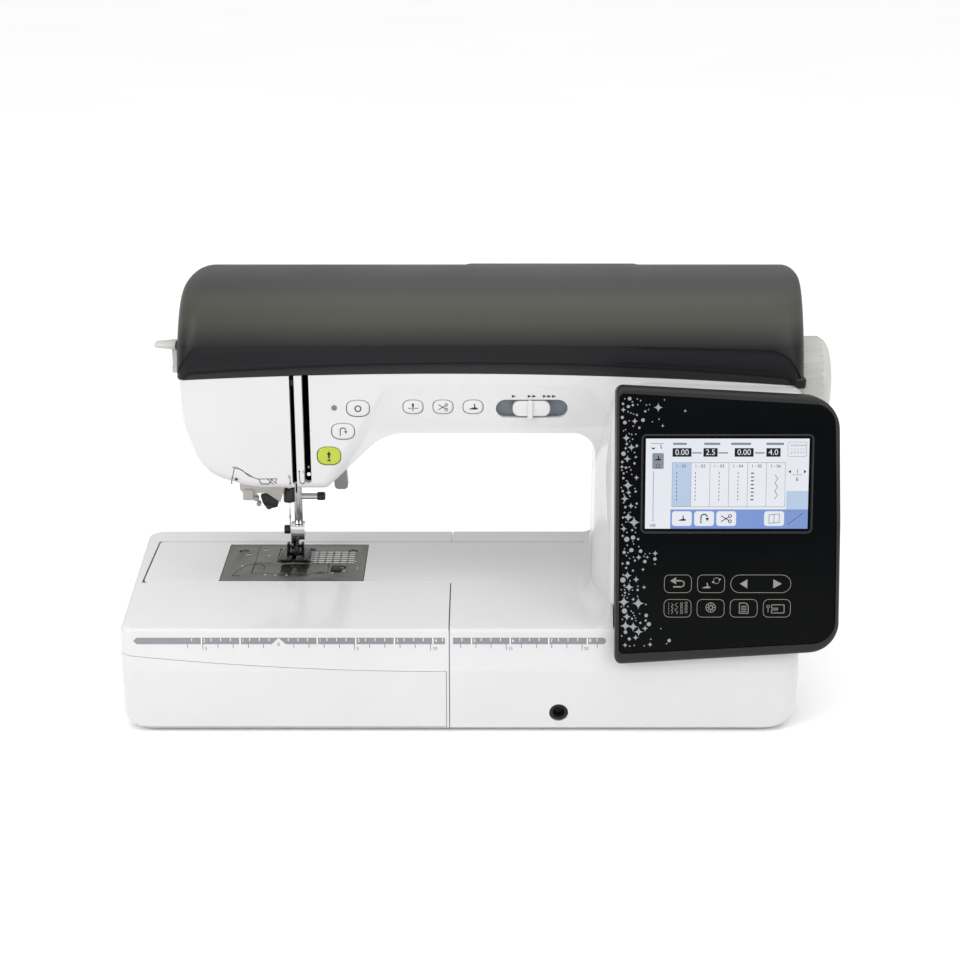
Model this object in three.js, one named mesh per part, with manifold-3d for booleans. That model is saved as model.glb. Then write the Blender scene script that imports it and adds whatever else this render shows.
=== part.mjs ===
// A computerised sewing machine with a free arm, a slide-off flat-bed attachment and a tilted display.
// Millimetres, +Z up, +X to the handwheel, +Y to the back. The machine is laid out with Y = 0 on the
// bed's front top edge; the exported group moves it so that the origin lies at its bottom centre.
import * as THREE from "three";
import { mergeVertices } from "three/addons/utils/BufferGeometryUtils.js";
import Module from "manifold-3d";

const wasm = await Module();
wasm.setup();

// ---------------------------------------------------------------- driving dimensions
const GAP = 0.4; // clearance between neighbouring pieces
const WALL = 2.5; // moulded casing thickness
const FRONT = -13.9; // foremost point, at the foot of the display
const REAR = 232; // rearmost point, the back of the column
const DEPTH_CENTRE = (FRONT + REAR) / 2;

const BED = { top: 73, bottom: 2.5, back: 177, seam: -17, right: 215, low: -4, mid: -5, midZ: 45 };
const DOOR = { x0: -236, x1: -19, foot: 3.6, t: 2.4 };
const PADS = [[-222, 12], [-34, 12], [-222, 166], [-34, 166]];
const FREE_ARM = { left: -231.3, right: 80.1, front: 78.4, back: 154.2, bottom: 22, ceiling: 68.5 };
const ARM = { front: 60, split: 118, back: 176, under: 188.6, recess: 3 };
const COLUMN = { left: 88, right: 215, throat: 80.5, throatRear: 85 };
const HEAD = { left: -195, bottom: 150 };
const LID = { left: -197.2, right: 217, front: 58, back: 149, crownY: 105, crownZ: 289.3, crease: 250.6 };
const LID_PIVOT = { y: 150.5, z: 276.5 };
const SPINE = { front: 151.6, left: -190, right: 209, top: 267 };
const HANDLE = { x0: -10, x1: 117, y: 165, z: 273.5, r: 5.6, pivotZ: 250 };
const PANEL = { tilt: 12, footY: -14, footZ: 54, depth: 17.4, lipDepth: 9, lipTop: 23.6 };

const RIM_CORNERS = [
  [91.2, 0, 4],
  [237, 8.8, 20],
  [236.2, 95, 120],
  [233.6, 174.8, 22],
  [90.4, 182.4, 5],
];
const FACE_CORNERS = [
  [93.7, 7.5, 3],
  [234, 15, 15],
  [233, 95, 120],
  [230.2, 169.7, 13],
  [92.4, 177.6, 3],
];
const LCD = { x0: 109.6, x1: 214.6, v0: 90, v1: 148.6, bezel: 3 };

const SHAFT = { y: 118, z: 208, r: 4 };
const CRANK = { x0: -111, x1: -104, r: 20, throw: 16.5 };
const LOWER = { y: 118.9, z: 38, r: 3.5, gear: 10.6 };
const BELT = { x0: 176, x1: 184, r: 10 };
const MOTOR = { x0: 108, x1: 166, y: 184, z: 100, r: 25 };
const NEEDLE = { x: -131.9, y: 118, tip: 96.6, barR: 3, barFoot: 119, barTop: 243, studZ: 198 };
const PRESSER = { x: -126.8, y: 128.5, r: 3.2, foot: 98, top: 230 };
const FOOT = { x: -129.4, half: 10.2, front: 105, back: 137, z: 74.3, pinY: 126, pinZ: 81 };
const HOOK = { x: -131.9, y: 102.5, r: 14.6, top: 66, bottom: 27 };
const PLATE = { x0: -178.8, x1: -78.6, y0: 81, y1: 148.5, t: 2.4 };
const WINDOW = { x0: -157.7, x1: -104.8, y0: 94, y1: 113.5, t: 1.5, slope: 15 };
const FEED_ROWS = [
  { x0: -141.5, x1: -138.2, y0: 118 },
  { x0: -131.4, x1: -127.2, y0: 124 },
  { x0: -120.5, x1: -117.2, y0: 118 },
];
const FEED = { back: 138, top: 72.8, travel: 2 };
const TAKE_UP = { x: -121.4, t: 1.6, pivotY: 100, pivotZ: 208.5 };
const SLOTS = [
  { x: -121.4, w: 3.2, foot: 152.8 },
  { x: -112.4, w: 4.6, foot: 153.6 },
];
const SLIDER = { x: 37.3, z: 205.4, half: 23.8, r: 6, knob: 12.8 };
const BUTTONS = [
  { name: "reinforcement_button", x: -77.8, z: 205.9, w: 15.5, h: 11.5 },
  { name: "reverse_button", x: -88.1, z: 189.9, w: 15.5, h: 11.5 },
  { name: "start_stop_button", x: -97.9, z: 172.6, w: 16, h: 13 },
  { name: "needle_position_button", x: -41.4, z: 206.6, w: 13.5, h: 10 },
  { name: "thread_cutter_button", x: -21.5, z: 206.6, w: 13.5, h: 10 },
  { name: "presser_lift_button", x: -1.6, z: 206.6, w: 13.5, h: 10 },
];
const LAMP = { x: -93.6, z: 206.3, r: 2 };
const KNEE = { x: 55.3, z: 14.3, r: 5.9 };
const SWITCH = { y: 188, z: 60, halfY: 6, halfZ: 10 };
const INLET = { y: 188, z: 28, halfY: 12, halfZ: 8.5 };
const FEED_LEVER = { x: 14, z: 38.5, travel: 14 };
const WINDER = { x: 178, y: 96, z: 223.9 };
const SPOOL = { x: 44, y: 118, z: 250, length: 62, r: 3 };
const LEVER = { x: -112, y0: 165, y1: 173, z: 164 };
const FEET = [[6, 18], [186, 18], [186, 212], [-188, 116.5]];

// Curved edges across the front, as heights over X.
const coverTop = (x) => 229.8 - 1.55e-4 * (x + 22) ** 2;
const lidLow = (x) => 237.45 - (x < 0 ? 2.03e-4 : 2.44e-4) * x ** 2;
const doorTop = (x) => 45 + 2.4e-4 * (x + 18) ** 2;

// ---------------------------------------------------------------- materials
const finish = (color, roughness, metalness = 0) =>
  new THREE.MeshStandardMaterial({ color, roughness, metalness });
const whitePlastic = finish(0xf0f0ee, 0.35);
const darkPlastic = finish(0x3a3c3e, 0.5);
const blackGloss = finish(0x0c0d0e, 0.08);
const greyPlastic = finish(0x75797e, 0.5);
const paleGrey = finish(0xc9c6c0, 0.45);
const limePlastic = finish(0xb9d22b, 0.3);
const smokedClear = finish(0x4a4a46, 0.1);
const screenGlass = finish(0xdfe6f2, 0.2);
const rubber = finish(0x1a1a1a, 0.9);
const chrome = finish(0xc8c8c8, 0.12, 1);
const steel = finish(0x8a8a88, 0.35, 1);
const castMetal = finish(0x9c9ea0, 0.6, 0.8);
const blackMetal = finish(0x151515, 0.4, 0.6);
const boardGreen = finish(0x1f5a34, 0.6);

// ---------------------------------------------------------------- outlines
const shapeOf = (points) => new THREE.Shape(points.map(([a, b]) => new THREE.Vector2(a, b)));

// A polygon with corners [a, b, radius], moved inwards by inset, as a THREE.Shape with round corners.
function outline(corners, inset = 0) {
  const n = corners.length;
  const area = corners.reduce((sum, [a, b], i) => {
    const [c, d] = corners[(i + 1) % n];
    return sum + a * d - c * b;
  }, 0);
  const turn = Math.sign(area);
  const edge = (i) => {
    const p = new THREE.Vector2(corners[i][0], corners[i][1]);
    const q = new THREE.Vector2(corners[(i + 1) % n][0], corners[(i + 1) % n][1]);
    const dir = q.sub(p).normalize();
    const shift = new THREE.Vector2(-dir.y, dir.x).multiplyScalar(turn * inset);
    return { p: p.add(shift), dir };
  };
  const vertex = (i) => {
    const before = edge((i + n - 1) % n);
    const after = edge(i);
    const cross = before.dir.x * after.dir.y - before.dir.y * after.dir.x;
    if (Math.abs(cross) < 1e-6) return { at: after.p, cross: 0, before, after };
    const gap = after.p.clone().sub(before.p);
    const t = (gap.x * after.dir.y - gap.y * after.dir.x) / cross;
    return { at: before.p.clone().addScaledVector(before.dir, t), cross, before, after };
  };
  const shape = new THREE.Shape();
  for (let i = 0; i < n; i++) {
    const { at, cross, before, after } = vertex(i);
    const convex = cross * turn > 0;
    const r = corners[i][2] ? Math.max(0, corners[i][2] + (convex ? -inset : inset)) : 0;
    const move = i === 0 ? "moveTo" : "lineTo";
    if (r < 0.01 || cross === 0) {
      shape[move](at.x, at.y);
      continue;
    }
    const bend = Math.acos(THREE.MathUtils.clamp(before.dir.dot(after.dir), -1, 1));
    const reach = r * Math.tan(bend / 2);
    const from = at.clone().addScaledVector(before.dir, -reach);
    const left = Math.sign(cross);
    const normal = new THREE.Vector2(-before.dir.y, before.dir.x);
    const centre = from.clone().addScaledVector(normal, left * r);
    const start = Math.atan2(from.y - centre.y, from.x - centre.x);
    shape[move](from.x, from.y);
    shape.absarc(centre.x, centre.y, r, start, start + left * bend, left < 0);
  }
  return shape;
}

const rectangle = (a0, b0, a1, b1, r = 0) =>
  outline([
    [a0, b0, r],
    [a1, b0, r],
    [a1, b1, r],
    [a0, b1, r],
  ]);
const sampled = (f, x0, x1, count) =>
  Array.from({ length: count + 1 }, (_, i) => {
    const x = x0 + ((x1 - x0) * i) / count;
    return [x, f(x)];
  });

// ---------------------------------------------------------------- solids
function solidOf(geometry) {
  const bare = geometry.index ? geometry.toNonIndexed() : geometry.clone();
  bare.deleteAttribute("normal");
  bare.deleteAttribute("uv");
  const merged = mergeVertices(bare, 1e-3);
  return new wasm.Manifold(
    new wasm.Mesh({
      numProp: 3,
      vertProperties: merged.attributes.position.array,
      triVerts: new Uint32Array(merged.index.array),
    }),
  );
}

function geometryOf(solid) {
  const mesh = solid.getMesh();
  const geometry = new THREE.BufferGeometry();
  const points = new Float32Array(mesh.numVert * 3);
  for (let i = 0; i < mesh.numVert; i++) {
    points.set(mesh.vertProperties.subarray(i * mesh.numProp, i * mesh.numProp + 3), i * 3);
  }
  geometry.setAttribute("position", new THREE.BufferAttribute(points, 3));
  geometry.setIndex(new THREE.BufferAttribute(mesh.triVerts, 1));
  return geometry;
}

const cut = (solid, ...tools) => tools.reduce((left, tool) => left.subtract(tool), solid);
const join = (...solids) => solids.reduce((whole, solid) => whole.add(solid));

const extruded = (shape, depth, curveSegments) =>
  new THREE.ExtrudeGeometry(shape, { depth, bevelEnabled: false, curveSegments });

// A shape drawn in X and Z, from y0 back to y1.
function alongY(shape, y0, y1, curveSegments = 6) {
  return solidOf(extruded(shape, y1 - y0, curveSegments).rotateX(Math.PI / 2).translate(0, y1, 0));
}

// A shape drawn in Y and Z, from x0 right to x1.
function alongX(shape, x0, x1, curveSegments = 6) {
  const turned = new THREE.Matrix4().makeBasis(
    new THREE.Vector3(0, 1, 0),
    new THREE.Vector3(0, 0, 1),
    new THREE.Vector3(1, 0, 0),
  );
  return solidOf(extruded(shape, x1 - x0, curveSegments).applyMatrix4(turned).translate(x0, 0, 0));
}

// A shape drawn in X and Y, from z0 up to z1.
const alongZ = (shape, z0, z1, curveSegments = 6) =>
  solidOf(extruded(shape, z1 - z0, curveSegments).translate(0, 0, z0));

function box(x0, y0, z0, x1, y1, z1) {
  const block = new THREE.BoxGeometry(x1 - x0, y1 - y0, z1 - z0);
  return solidOf(block.translate((x0 + x1) / 2, (y0 + y1) / 2, (z0 + z1) / 2));
}

// Cylinders from a to b along each axis; r2 is the radius at the far end.
function rodX(a, b, y, z, r, sides = 16, r2 = r) {
  const rod = new THREE.CylinderGeometry(r2, r, b - a, sides).rotateZ(-Math.PI / 2);
  return solidOf(rod.translate((a + b) / 2, y, z));
}

function rodY(a, b, x, z, r, sides = 16) {
  const rod = new THREE.CylinderGeometry(r, r, b - a, sides);
  return solidOf(rod.translate(x, (a + b) / 2, z));
}

function rodZ(a, b, x, y, r, sides = 16, r2 = r) {
  const rod = new THREE.CylinderGeometry(r2, r, b - a, sides).rotateX(Math.PI / 2);
  return solidOf(rod.translate(x, y, (a + b) / 2));
}

// A closed outline of [radius, z] points turned about an upright axis.
function lathe(points, x, y, segments = 20) {
  const profile = [...points, points[0]].map(([r, z]) => new THREE.Vector2(r, z));
  return solidOf(new THREE.LatheGeometry(profile, segments).rotateX(Math.PI / 2).translate(x, y, 0));
}

// ---------------------------------------------------------------- the machine
const machine = new THREE.Group();
machine.position.set(0, -DEPTH_CENTRE, 0);
const panel = new THREE.Group(); // X across, Y into the machine, Z up the tilted face
panel.position.set(0, PANEL.footY, PANEL.footZ);
panel.rotation.x = THREE.MathUtils.degToRad(-PANEL.tilt);
machine.add(panel);

function place(name, solid, material, group = machine) {
  const mesh = new THREE.Mesh(geometryOf(solid), material);
  mesh.name = name;
  group.add(mesh);
}

// ---------------------------------------------------------------- casings
const tan = (degrees) => Math.tan(THREE.MathUtils.degToRad(degrees));

// Corners of head, arm and column in X and Z, with the column's inner side at throat.
const bodyCorners = (throat) => [
  ...sampled(coverTop, HEAD.left, COLUMN.right, 10).map(([x, z]) => [x, z, 0]),
  [COLUMN.right, BED.top - 1, 0],
  [throat, BED.top - 1, 0],
  [throat, ARM.under, 14],
  [-61, ARM.under, 34],
  [-100, HEAD.bottom, 4],
  [-152, HEAD.bottom, 40],
  [-184, 160, 30],
  [-195.2, 195, 60],
];
const columnTop = 228;
const bulgeCorners = [
  [COLUMN.left + 1, BED.top - 4, 0],
  [COLUMN.left + 1, columnTop - 1.5, 24],
  [COLUMN.right, columnTop - 7, 3],
  [COLUMN.right, BED.top - 4, 0],
];
const bulgeFront = (z) => PANEL.footY + 18.6 + (z - PANEL.footZ) * tan(PANEL.tilt);
const bulgeProfile = (inset) =>
  shapeOf([
    [bulgeFront(BED.top - 4) + inset, BED.top - 4],
    [bulgeFront(232) + inset, 232],
    [ARM.split + 1, 232],
    [ARM.split + 1, BED.top - 4],
  ]);
const bedProfile = (back, inset = 0) =>
  outline(
    [
      [BED.low, BED.bottom, 0],
      [BED.mid, BED.midZ, 6],
      [0, BED.top, 3],
      [back, BED.top, 0],
      [back, BED.bottom, 0],
    ],
    inset,
  );
const baseCorners = [
  [BED.seam, BED.bottom, 0],
  [BED.right, BED.bottom, 12],
  [BED.right, BED.top + 8, 0],
  [BED.seam, BED.top + 8, 0],
];

function panelClearance() {
  const block = new THREE.BoxGeometry(148.5, PANEL.lipDepth + 6, 60).translate(162.2, 2.3, 20);
  return solidOf(
    block.rotateX(THREE.MathUtils.degToRad(-PANEL.tilt)).translate(0, PANEL.footY, PANEL.footZ),
  );
}

function buttonShape({ x, z, w, h }, inset = 0) {
  const shape = new THREE.Shape();
  shape.absellipse(x, z, w / 2 - inset, h / 2 - inset, 0, 2 * Math.PI);
  return shape;
}

const faceY = (x) => ARM.front + (x > -60 ? ARM.recess : 0);
const sliderShape = (inset) =>
  rectangle(
    SLIDER.x - SLIDER.half + inset,
    SLIDER.z - SLIDER.r + inset,
    SLIDER.x + SLIDER.half - inset,
    SLIDER.z + SLIDER.r - inset,
    SLIDER.r - inset - 0.05,
  );
const openTop = (y0, y1) => box(HEAD.left + 6, y0, 218, COLUMN.right - 6, y1, 240);
const headFloor = (y0, y1) => box(-163, y0, HEAD.bottom - 1, -102, y1, HEAD.bottom + 9);

// The strip of bed top between the free arm and the column.
const ledge = (y0, y1) =>
  box(COLUMN.throat, y0, BED.top - WALL, COLUMN.left + WALL, y1, BED.top);

function frontCover() {
  const body = bodyCorners(COLUMN.throat);
  const bulgeSides = (inset, y1) => alongY(outline(bulgeCorners, inset), FRONT, y1);
  const bulge = (inset, y1) =>
    alongX(bulgeProfile(inset), COLUMN.left - 30, COLUMN.right + 1).intersect(bulgeSides(inset, y1));
  const base = (inset) =>
    join(
      alongX(bedProfile(FREE_ARM.front - GAP, inset), BED.seam, BED.right),
      alongX(bedProfile(ARM.split + (inset ? 9 : 0), inset), COLUMN.left + inset, BED.right),
    ).intersect(alongY(outline(baseCorners, inset), FRONT - 9, ARM.split + 9));
  const armFace = alongY(
    outline([
      [-104, BED.top, 0],
      [-104, 140, 0],
      [-54, 221, 14],
      [72, 219, 20],
      [92, 196, 8],
      [92, BED.top, 0],
    ]),
    ARM.front - 1,
    ARM.front + ARM.recess,
  );
  const shell = join(
    cut(alongY(outline(body), ARM.front, ARM.split), armFace),
    bulge(0, ARM.split),
    base(0),
  );
  const hollow = join(
    alongY(outline(body, WALL), ARM.front + ARM.recess + WALL, ARM.split + 1),
    bulge(WALL, ARM.split + 1),
    base(WALL),
    box(COLUMN.left + WALL, 14, BED.top - 12, COLUMN.right - WALL, ARM.split + 1, BED.top + 12),
    box(BED.seam + WALL, 40, BED.bottom + WALL, BED.right - WALL, FREE_ARM.front + 1, BED.top - WALL),
  );
  return cut(
    join(cut(shell, hollow), ledge(FREE_ARM.front - 1, ARM.split)),
    box(BED.seam + WALL, 2, 0, BED.right - 14, FREE_ARM.front + 1, BED.midZ),
    box(COLUMN.left + WALL, 2, 0, BED.right - 14, ARM.split + 1, BED.midZ),
    box(COLUMN.left - 1, FREE_ARM.front - GAP, 0, COLUMN.left + 5, ARM.split + 1, BED.top - WALL),
    openTop(ARM.front + 6, ARM.split + 1),
    headFloor(ARM.front + 8, ARM.split + 1),
    ...SLOTS.map(({ x, w, foot }) => box(x - w / 2, 50, foot, x + w / 2, 74, 240)),
    ...BUTTONS.map((b) => alongY(buttonShape(b, -GAP), 50, 75)),
    alongY(sliderShape(-GAP), 50, 75),
    rodY(50, 75, LAMP.x, LAMP.z, LAMP.r + GAP, 12),
    rodY(-8, 6, KNEE.x, KNEE.z, KNEE.r + GAP, 20),
    rodX(205, 220, SHAFT.y, SHAFT.z, 12, 20),
    box(-200, 80.5, 195.4, -185, 89.5, 240),
    panelClearance(),
  );
}

function rearCover() {
  const body = bodyCorners(COLUMN.throatRear);
  const overlap = (inset, by) => (inset ? by : 0);
  const back = (inset) =>
    alongY(outline(body, inset), ARM.split - overlap(inset, 1), ARM.back - inset);
  const spineCorners = [
    [SPINE.left, 200, 0],
    [SPINE.left, SPINE.top, 20],
    [SPINE.right, SPINE.top, 14],
    [SPINE.right, 200, 0],
  ];
  const spine = (inset) => alongY(outline(spineCorners, inset), SPINE.front + inset, ARM.back - inset);
  const humpProfile = (inset) =>
    outline(
      [
        [ARM.split - overlap(inset, 9), BED.bottom, 0],
        [REAR, BED.bottom, 6],
        [REAR, 176, 24],
        [ARM.back - 6, 220, 12],
        [ARM.split - overlap(inset, 9), 220, 0],
      ],
      inset,
    );
  const humpCorners = [
    [COLUMN.left, BED.bottom, 0],
    [BED.right, BED.bottom, 12],
    [BED.right, 222, 0],
    [COLUMN.left, 222, 0],
  ];
  const hump = (inset) =>
    alongX(humpProfile(inset), 70, BED.right + 1).intersect(
      alongY(outline(humpCorners, inset), 100, REAR + 1),
    );
  const bedRear = (inset) =>
    alongX(
      outline(
        [
          [FREE_ARM.back + GAP, BED.bottom, 0],
          [BED.back, BED.bottom, 5],
          [BED.back, BED.top, 3],
          [FREE_ARM.back + GAP, BED.top, 0],
        ],
        inset,
      ),
      BED.seam + inset,
      COLUMN.left + 2 * inset,
    );
  const floor = BED.bottom + WALL;
  const ceiling = BED.top - WALL;
  const hollow = join(
    back(WALL),
    spine(WALL),
    hump(WALL),
    bedRear(WALL),
    box(COLUMN.left + WALL, ARM.split - 1, BED.top - 12, COLUMN.right - WALL, ARM.back + 8, 212),
    box(-180, SPINE.front + WALL, 215, 200, ARM.back - WALL, 250),
    box(60, FREE_ARM.back - 1, floor, BED.right - WALL, ARM.back - WALL, ceiling),
    box(BED.seam + WALL, FREE_ARM.back - 1, floor, 90, 160, ceiling),
  );
  const vent = (z) => box(120, REAR - 4, z, 180, REAR + 1, z + 4);
  const vents = [70, 79, 88, 97, 106].map(vent);
  const sideWindow = ({ y, z, halfY, halfZ }) =>
    box(208, y - halfY, z - halfZ, 220, y + halfY, z + halfZ);
  const { x, z, travel } = FEED_LEVER;
  return cut(
    join(cut(join(back(0), spine(0), hump(0), bedRear(0)), hollow), ledge(ARM.split, FREE_ARM.back + 2)),
    box(BED.seam + WALL, FREE_ARM.back - 1, 0, COLUMN.left + 5, BED.back - 3.5, 20),
    box(COLUMN.left + WALL, ARM.split - 1, 0, BED.right - 14, REAR - 4, 20),
    box(COLUMN.left - 1, ARM.split - 1, 0, COLUMN.left + 5, FREE_ARM.back + GAP, BED.top - WALL),
    box(COLUMN.left - 1, ARM.split - 1, 0, COLUMN.left + 5, ARM.back - 3, 20),
    openTop(ARM.split - 1, SPINE.front - 1),
    headFloor(ARM.split - 1, 160),
    box(-126, 162, HEAD.bottom - 2, -82, 174.2, 174),
    box(HANDLE.x0 - 4, 140, 243, HANDLE.x1 + 4, 180, 280),
    rodX(HANDLE.x0 - 8, HANDLE.x1 + 8, HANDLE.y, HANDLE.pivotZ, 3.4, 12),
    rodX(205, 220, SHAFT.y, SHAFT.z, 12, 20),
    sideWindow(SWITCH),
    sideWindow(INLET),
    box(x - 4, 170, z - 2.5, x + travel + 4, 180, z + 2.5),
    ...vents,
  );
}

function freeArmCover() {
  const { left, right, front, back, bottom, ceiling } = FREE_ARM;
  const { x0, x1, y0, y1, t } = PLATE;
  const section = [[front, bottom, 6], [back, bottom, 6], [back, BED.top, 1], [front, BED.top, 1]];
  const plan = [[left, front, 5], [right, front, 0], [right, back, 0], [left, back, 5]];
  const inner = [
    [front + WALL, bottom + WALL, 4],
    [back - WALL, bottom + WALL, 4],
    [back - WALL, ceiling, 0],
    [front + WALL, ceiling, 0],
  ];
  return cut(
    alongX(outline(section), left, right).intersect(alongZ(outline(plan), 0, 80)),
    alongX(outline(inner), left + WALL, right + 1),
    box(x0 - GAP, y0 - GAP, BED.top - t - 0.3, x1 + GAP, y1 + GAP, 75),
    box(x0 + 3, y0 + 3, 60, x1 - 3, y1 - 3, 75),
  );
}

// The slide-off bed around the free arm, with a compartment behind its drop-down front.
const bedPlan = (inset) =>
  outline(
    [
      [-234.2, -6, 9],
      [-243.2, BED.back, 11],
      [BED.seam - GAP, BED.back, 2],
      [BED.seam - GAP, -6, 0],
    ],
    inset,
  );
const bedBody = (inset) =>
  alongX(
    outline(
      [
        [BED.low, BED.bottom, 0],
        [BED.mid, BED.midZ, 6],
        [0, BED.top, 3],
        [BED.back, BED.top, 3],
        [BED.back, BED.bottom, 0],
      ],
      inset,
    ),
    -250,
    0,
  ).intersect(alongZ(bedPlan(inset), 0, 90));
const doorShape = (inset) =>
  shapeOf([
    [DOOR.x1 - inset, DOOR.foot + inset],
    ...sampled((x) => doorTop(x) - inset, DOOR.x1 - inset, DOOR.x0 + inset, 6),
    [DOOR.x0 + inset, DOOR.foot + inset],
  ]);

function flatbedAttachment() {
  const pads = PADS.map(([x, y]) => rodZ(0.2, 3, x, y, 5, 12));
  return cut(
    join(bedBody(0), ...pads),
    box(FREE_ARM.left - GAP, FREE_ARM.front - GAP, -1, 0, FREE_ARM.back + GAP, 90),
    box(-226, 1, 5.5, -21, FREE_ARM.front - 3, BED.top - 3),
    alongY(doorShape(0), -20, 3),
    box(-222, FREE_ARM.back + 3, 12, -22, BED.back - 3, BED.top - 3),
    box(-210, FREE_ARM.back + 5, -1, -46, BED.back - 5, 14),
  );
}

// The door is a piece of the attachment's skin that wraps round its left corner.
function accessoryDoor() {
  const skin = cut(bedBody(0), bedBody(DOOR.t));
  return skin.intersect(alongY(doorShape(GAP), -20, 2));
}

function basePlate() {
  const inside = WALL + GAP;
  const right = BED.right - 14.4;
  const deck = alongZ(rectangle(BED.seam + inside, 2.4, right, ARM.back - 3, 2), BED.bottom, 5);
  const rear = alongZ(rectangle(COLUMN.left + inside, 60, right, REAR - 4.4, 3), BED.bottom, 5);
  const tongue = alongZ(rectangle(-206, 86, 0, 147, 10), BED.bottom, 11);
  return join(deck, rear, tongue);
}

// ---------------------------------------------------------------- top
function topTray() {
  const band = (x0, x1, drop, rise, count) =>
    shapeOf([
      ...sampled((x) => coverTop(x) + drop, x0, x1, count),
      ...sampled((x) => lidLow(x) - rise, x0, x1, count).reverse(),
    ]);
  const ring = cut(
    alongY(band(HEAD.left, COLUMN.right, GAP, GAP, 10), ARM.front, 150.6),
    box(HEAD.left + 7, ARM.front + 8, 200, COLUMN.right - 7, 146, 260),
  );
  const deck = box(-62, ARM.front + 6.6, 221, COLUMN.right - 6.6, 147.4, 223.5);
  const skirt = cut(
    box(-62, ARM.front + 6.6, 221, COLUMN.right - 6.6, 147.4, 229),
    box(-59.5, ARM.front + 9, 223, COLUMN.right - 9, 145, 240),
  );
  const rim = alongY(band(HEAD.left, COLUMN.right, -20, GAP, 10), ARM.front, 150.6);
  const post = rodZ(222, 238, SPOOL.x + 66, SPOOL.y, 6);
  return cut(join(ring, deck, skirt.intersect(rim), post), box(-200, 80.5, 200, -180, 89.5, 250));
}

const lidCorners = [
  [LID.left, 215, 0],
  [LID.left, LID.crownZ, 24],
  [LID.right, LID.crownZ, 12],
  [LID.right, 215, 0],
];
const lidProfile = (inset) => {
  const shape = new THREE.Shape();
  shape.moveTo(LID.back - inset, 215);
  shape.lineTo(LID.back - inset, LID.crownZ - 9 - inset);
  shape.quadraticCurveTo(128, LID.crownZ - inset, LID.crownY, LID.crownZ - inset);
  shape.bezierCurveTo(80, LID.crownZ - inset, 62, 275 - inset, LID.front + 1.6 + inset, LID.crease);
  shape.lineTo(LID.front + inset, LID.crease - 4);
  shape.lineTo(LID.front + inset, 215);
  return shape;
};

function lid() {
  const block = (inset) => {
    const sides = alongY(outline(lidCorners, inset), 0, 200);
    return alongX(lidProfile(inset), LID.left, LID.right).intersect(sides);
  };
  const ear = (x) => box(x, LID.back - 6, 270, x + 12, LID_PIVOT.y + 3.4, LID_PIVOT.z + 3);
  const ears = [-150, 160].map((x) => ear(x).intersect(block(0)));
  const below = alongY(shapeOf([[-220, 190], ...sampled(lidLow, -220, 240, 12), [240, 190]]), 0, 200);
  const behind = box(LID.left + 4, LID.back - 9, 200, LID.right - 4, 160, 262);
  return cut(join(cut(block(0), block(WALL)), ...ears), below, behind);
}

function carryHandle() {
  const { x0, x1, y, z, r, pivotZ } = HANDLE;
  const arm = (x) => box(x, y - r + 1, pivotZ - 4, x + 7, y + r - 1, z);
  return join(
    rodX(x0, x1, y, z, r, 16),
    arm(x0),
    arm(x1 - 7),
    rodX(x0 - 6, x0 + 1, y, pivotZ, 3, 12),
    rodX(x1 - 1, x1 + 6, y, pivotZ, 3, 12),
  );
}

function spoolPin() {
  const { x, y, z, length, r } = SPOOL;
  const end = x + length;
  const bracket = box(end - 1, y - 3, 238.4, end + 7, y + 3, z + 3);
  return join(rodX(x, end, y, z, r), rodX(end - 3, end, y, z, 11), bracket);
}

function spoolCap() {
  const { x, y, z, r } = SPOOL;
  return cut(rodX(x + 4, x + 9, y, z, 15, 20), rodX(x, x + 12, y, z, r + GAP, 12));
}

function bobbinWinder() {
  const { x, y, z } = WINDER;
  const arm = box(x - 4, y, z, x + 4, y + 22, z + 2.6);
  return join(rodZ(z, z + 22, x, y, 3), rodZ(z, z + 3, x, y, 9), arm);
}

// ---------------------------------------------------------------- controls
function pushButton(b) {
  const behind = ARM.front + ARM.recess + WALL + GAP;
  const cap = alongY(buttonShape(b), faceY(b.x) - 1.4, behind + 0.6, 5);
  const flange = alongY(buttonShape(b, -1.6), behind, behind + 1.6, 5);
  return join(cap, flange);
}

const statusLamp = () => rodY(ARM.front - 0.4, ARM.front + 5, LAMP.x, LAMP.z, LAMP.r, 12);

function feedDogLever() {
  const { x } = FEED_LEVER;
  return join(box(x - 3, 173, 36.4, x + 3, 181, 40.6), box(x - 4, 170.6, 34.4, x + 4, 173.6, 42.6));
}

function powerSwitch() {
  const rocker = shapeOf([[208.4, 51], [214.6, 51], [217, 60], [215.6, 69], [208.4, 69]]);
  return alongY(rocker, SWITCH.y - 5.6, SWITCH.y + 5.6);
}

function powerInlet() {
  const body = box(200, INLET.y - 11.6, INLET.z - 8.1, 214.6, INLET.y + 11.6, INLET.z + 8.1);
  return cut(body, box(204, INLET.y - 9, INLET.z - 5.5, 216, INLET.y + 9, INLET.z + 5.5));
}

function kneeLifterSocket() {
  const { x, z, r } = KNEE;
  return cut(rodY(-3.4, 6, x, z, r, 20), rodY(-5, 4, x, z, 4));
}

function speedSlider() {
  const face = faceY(SLIDER.x);
  const knob = alongY(
    rectangle(SLIDER.x - SLIDER.knob, SLIDER.z - 5.2, SLIDER.x + SLIDER.knob, SLIDER.z + 5.2, 5),
    face - 2,
    face + 4,
  );
  return join(knob, box(SLIDER.x - 1, face - 3, SLIDER.z - 4.6, SLIDER.x + 1, face, SLIDER.z + 4.6));
}

function panelHousing() {
  const { depth, lipDepth, lipTop } = PANEL;
  const inner = alongY(outline(RIM_CORNERS, WALL), 6, depth + 1);
  return cut(
    alongY(outline(RIM_CORNERS), 0, depth),
    alongY(outline(FACE_CORNERS, -GAP), -1, 3),
    box(80, lipDepth, -20, 250, depth + 1, lipTop),
    inner.intersect(box(80, 0, lipTop + WALL, 250, 30, 200)),
  );
}

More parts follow.
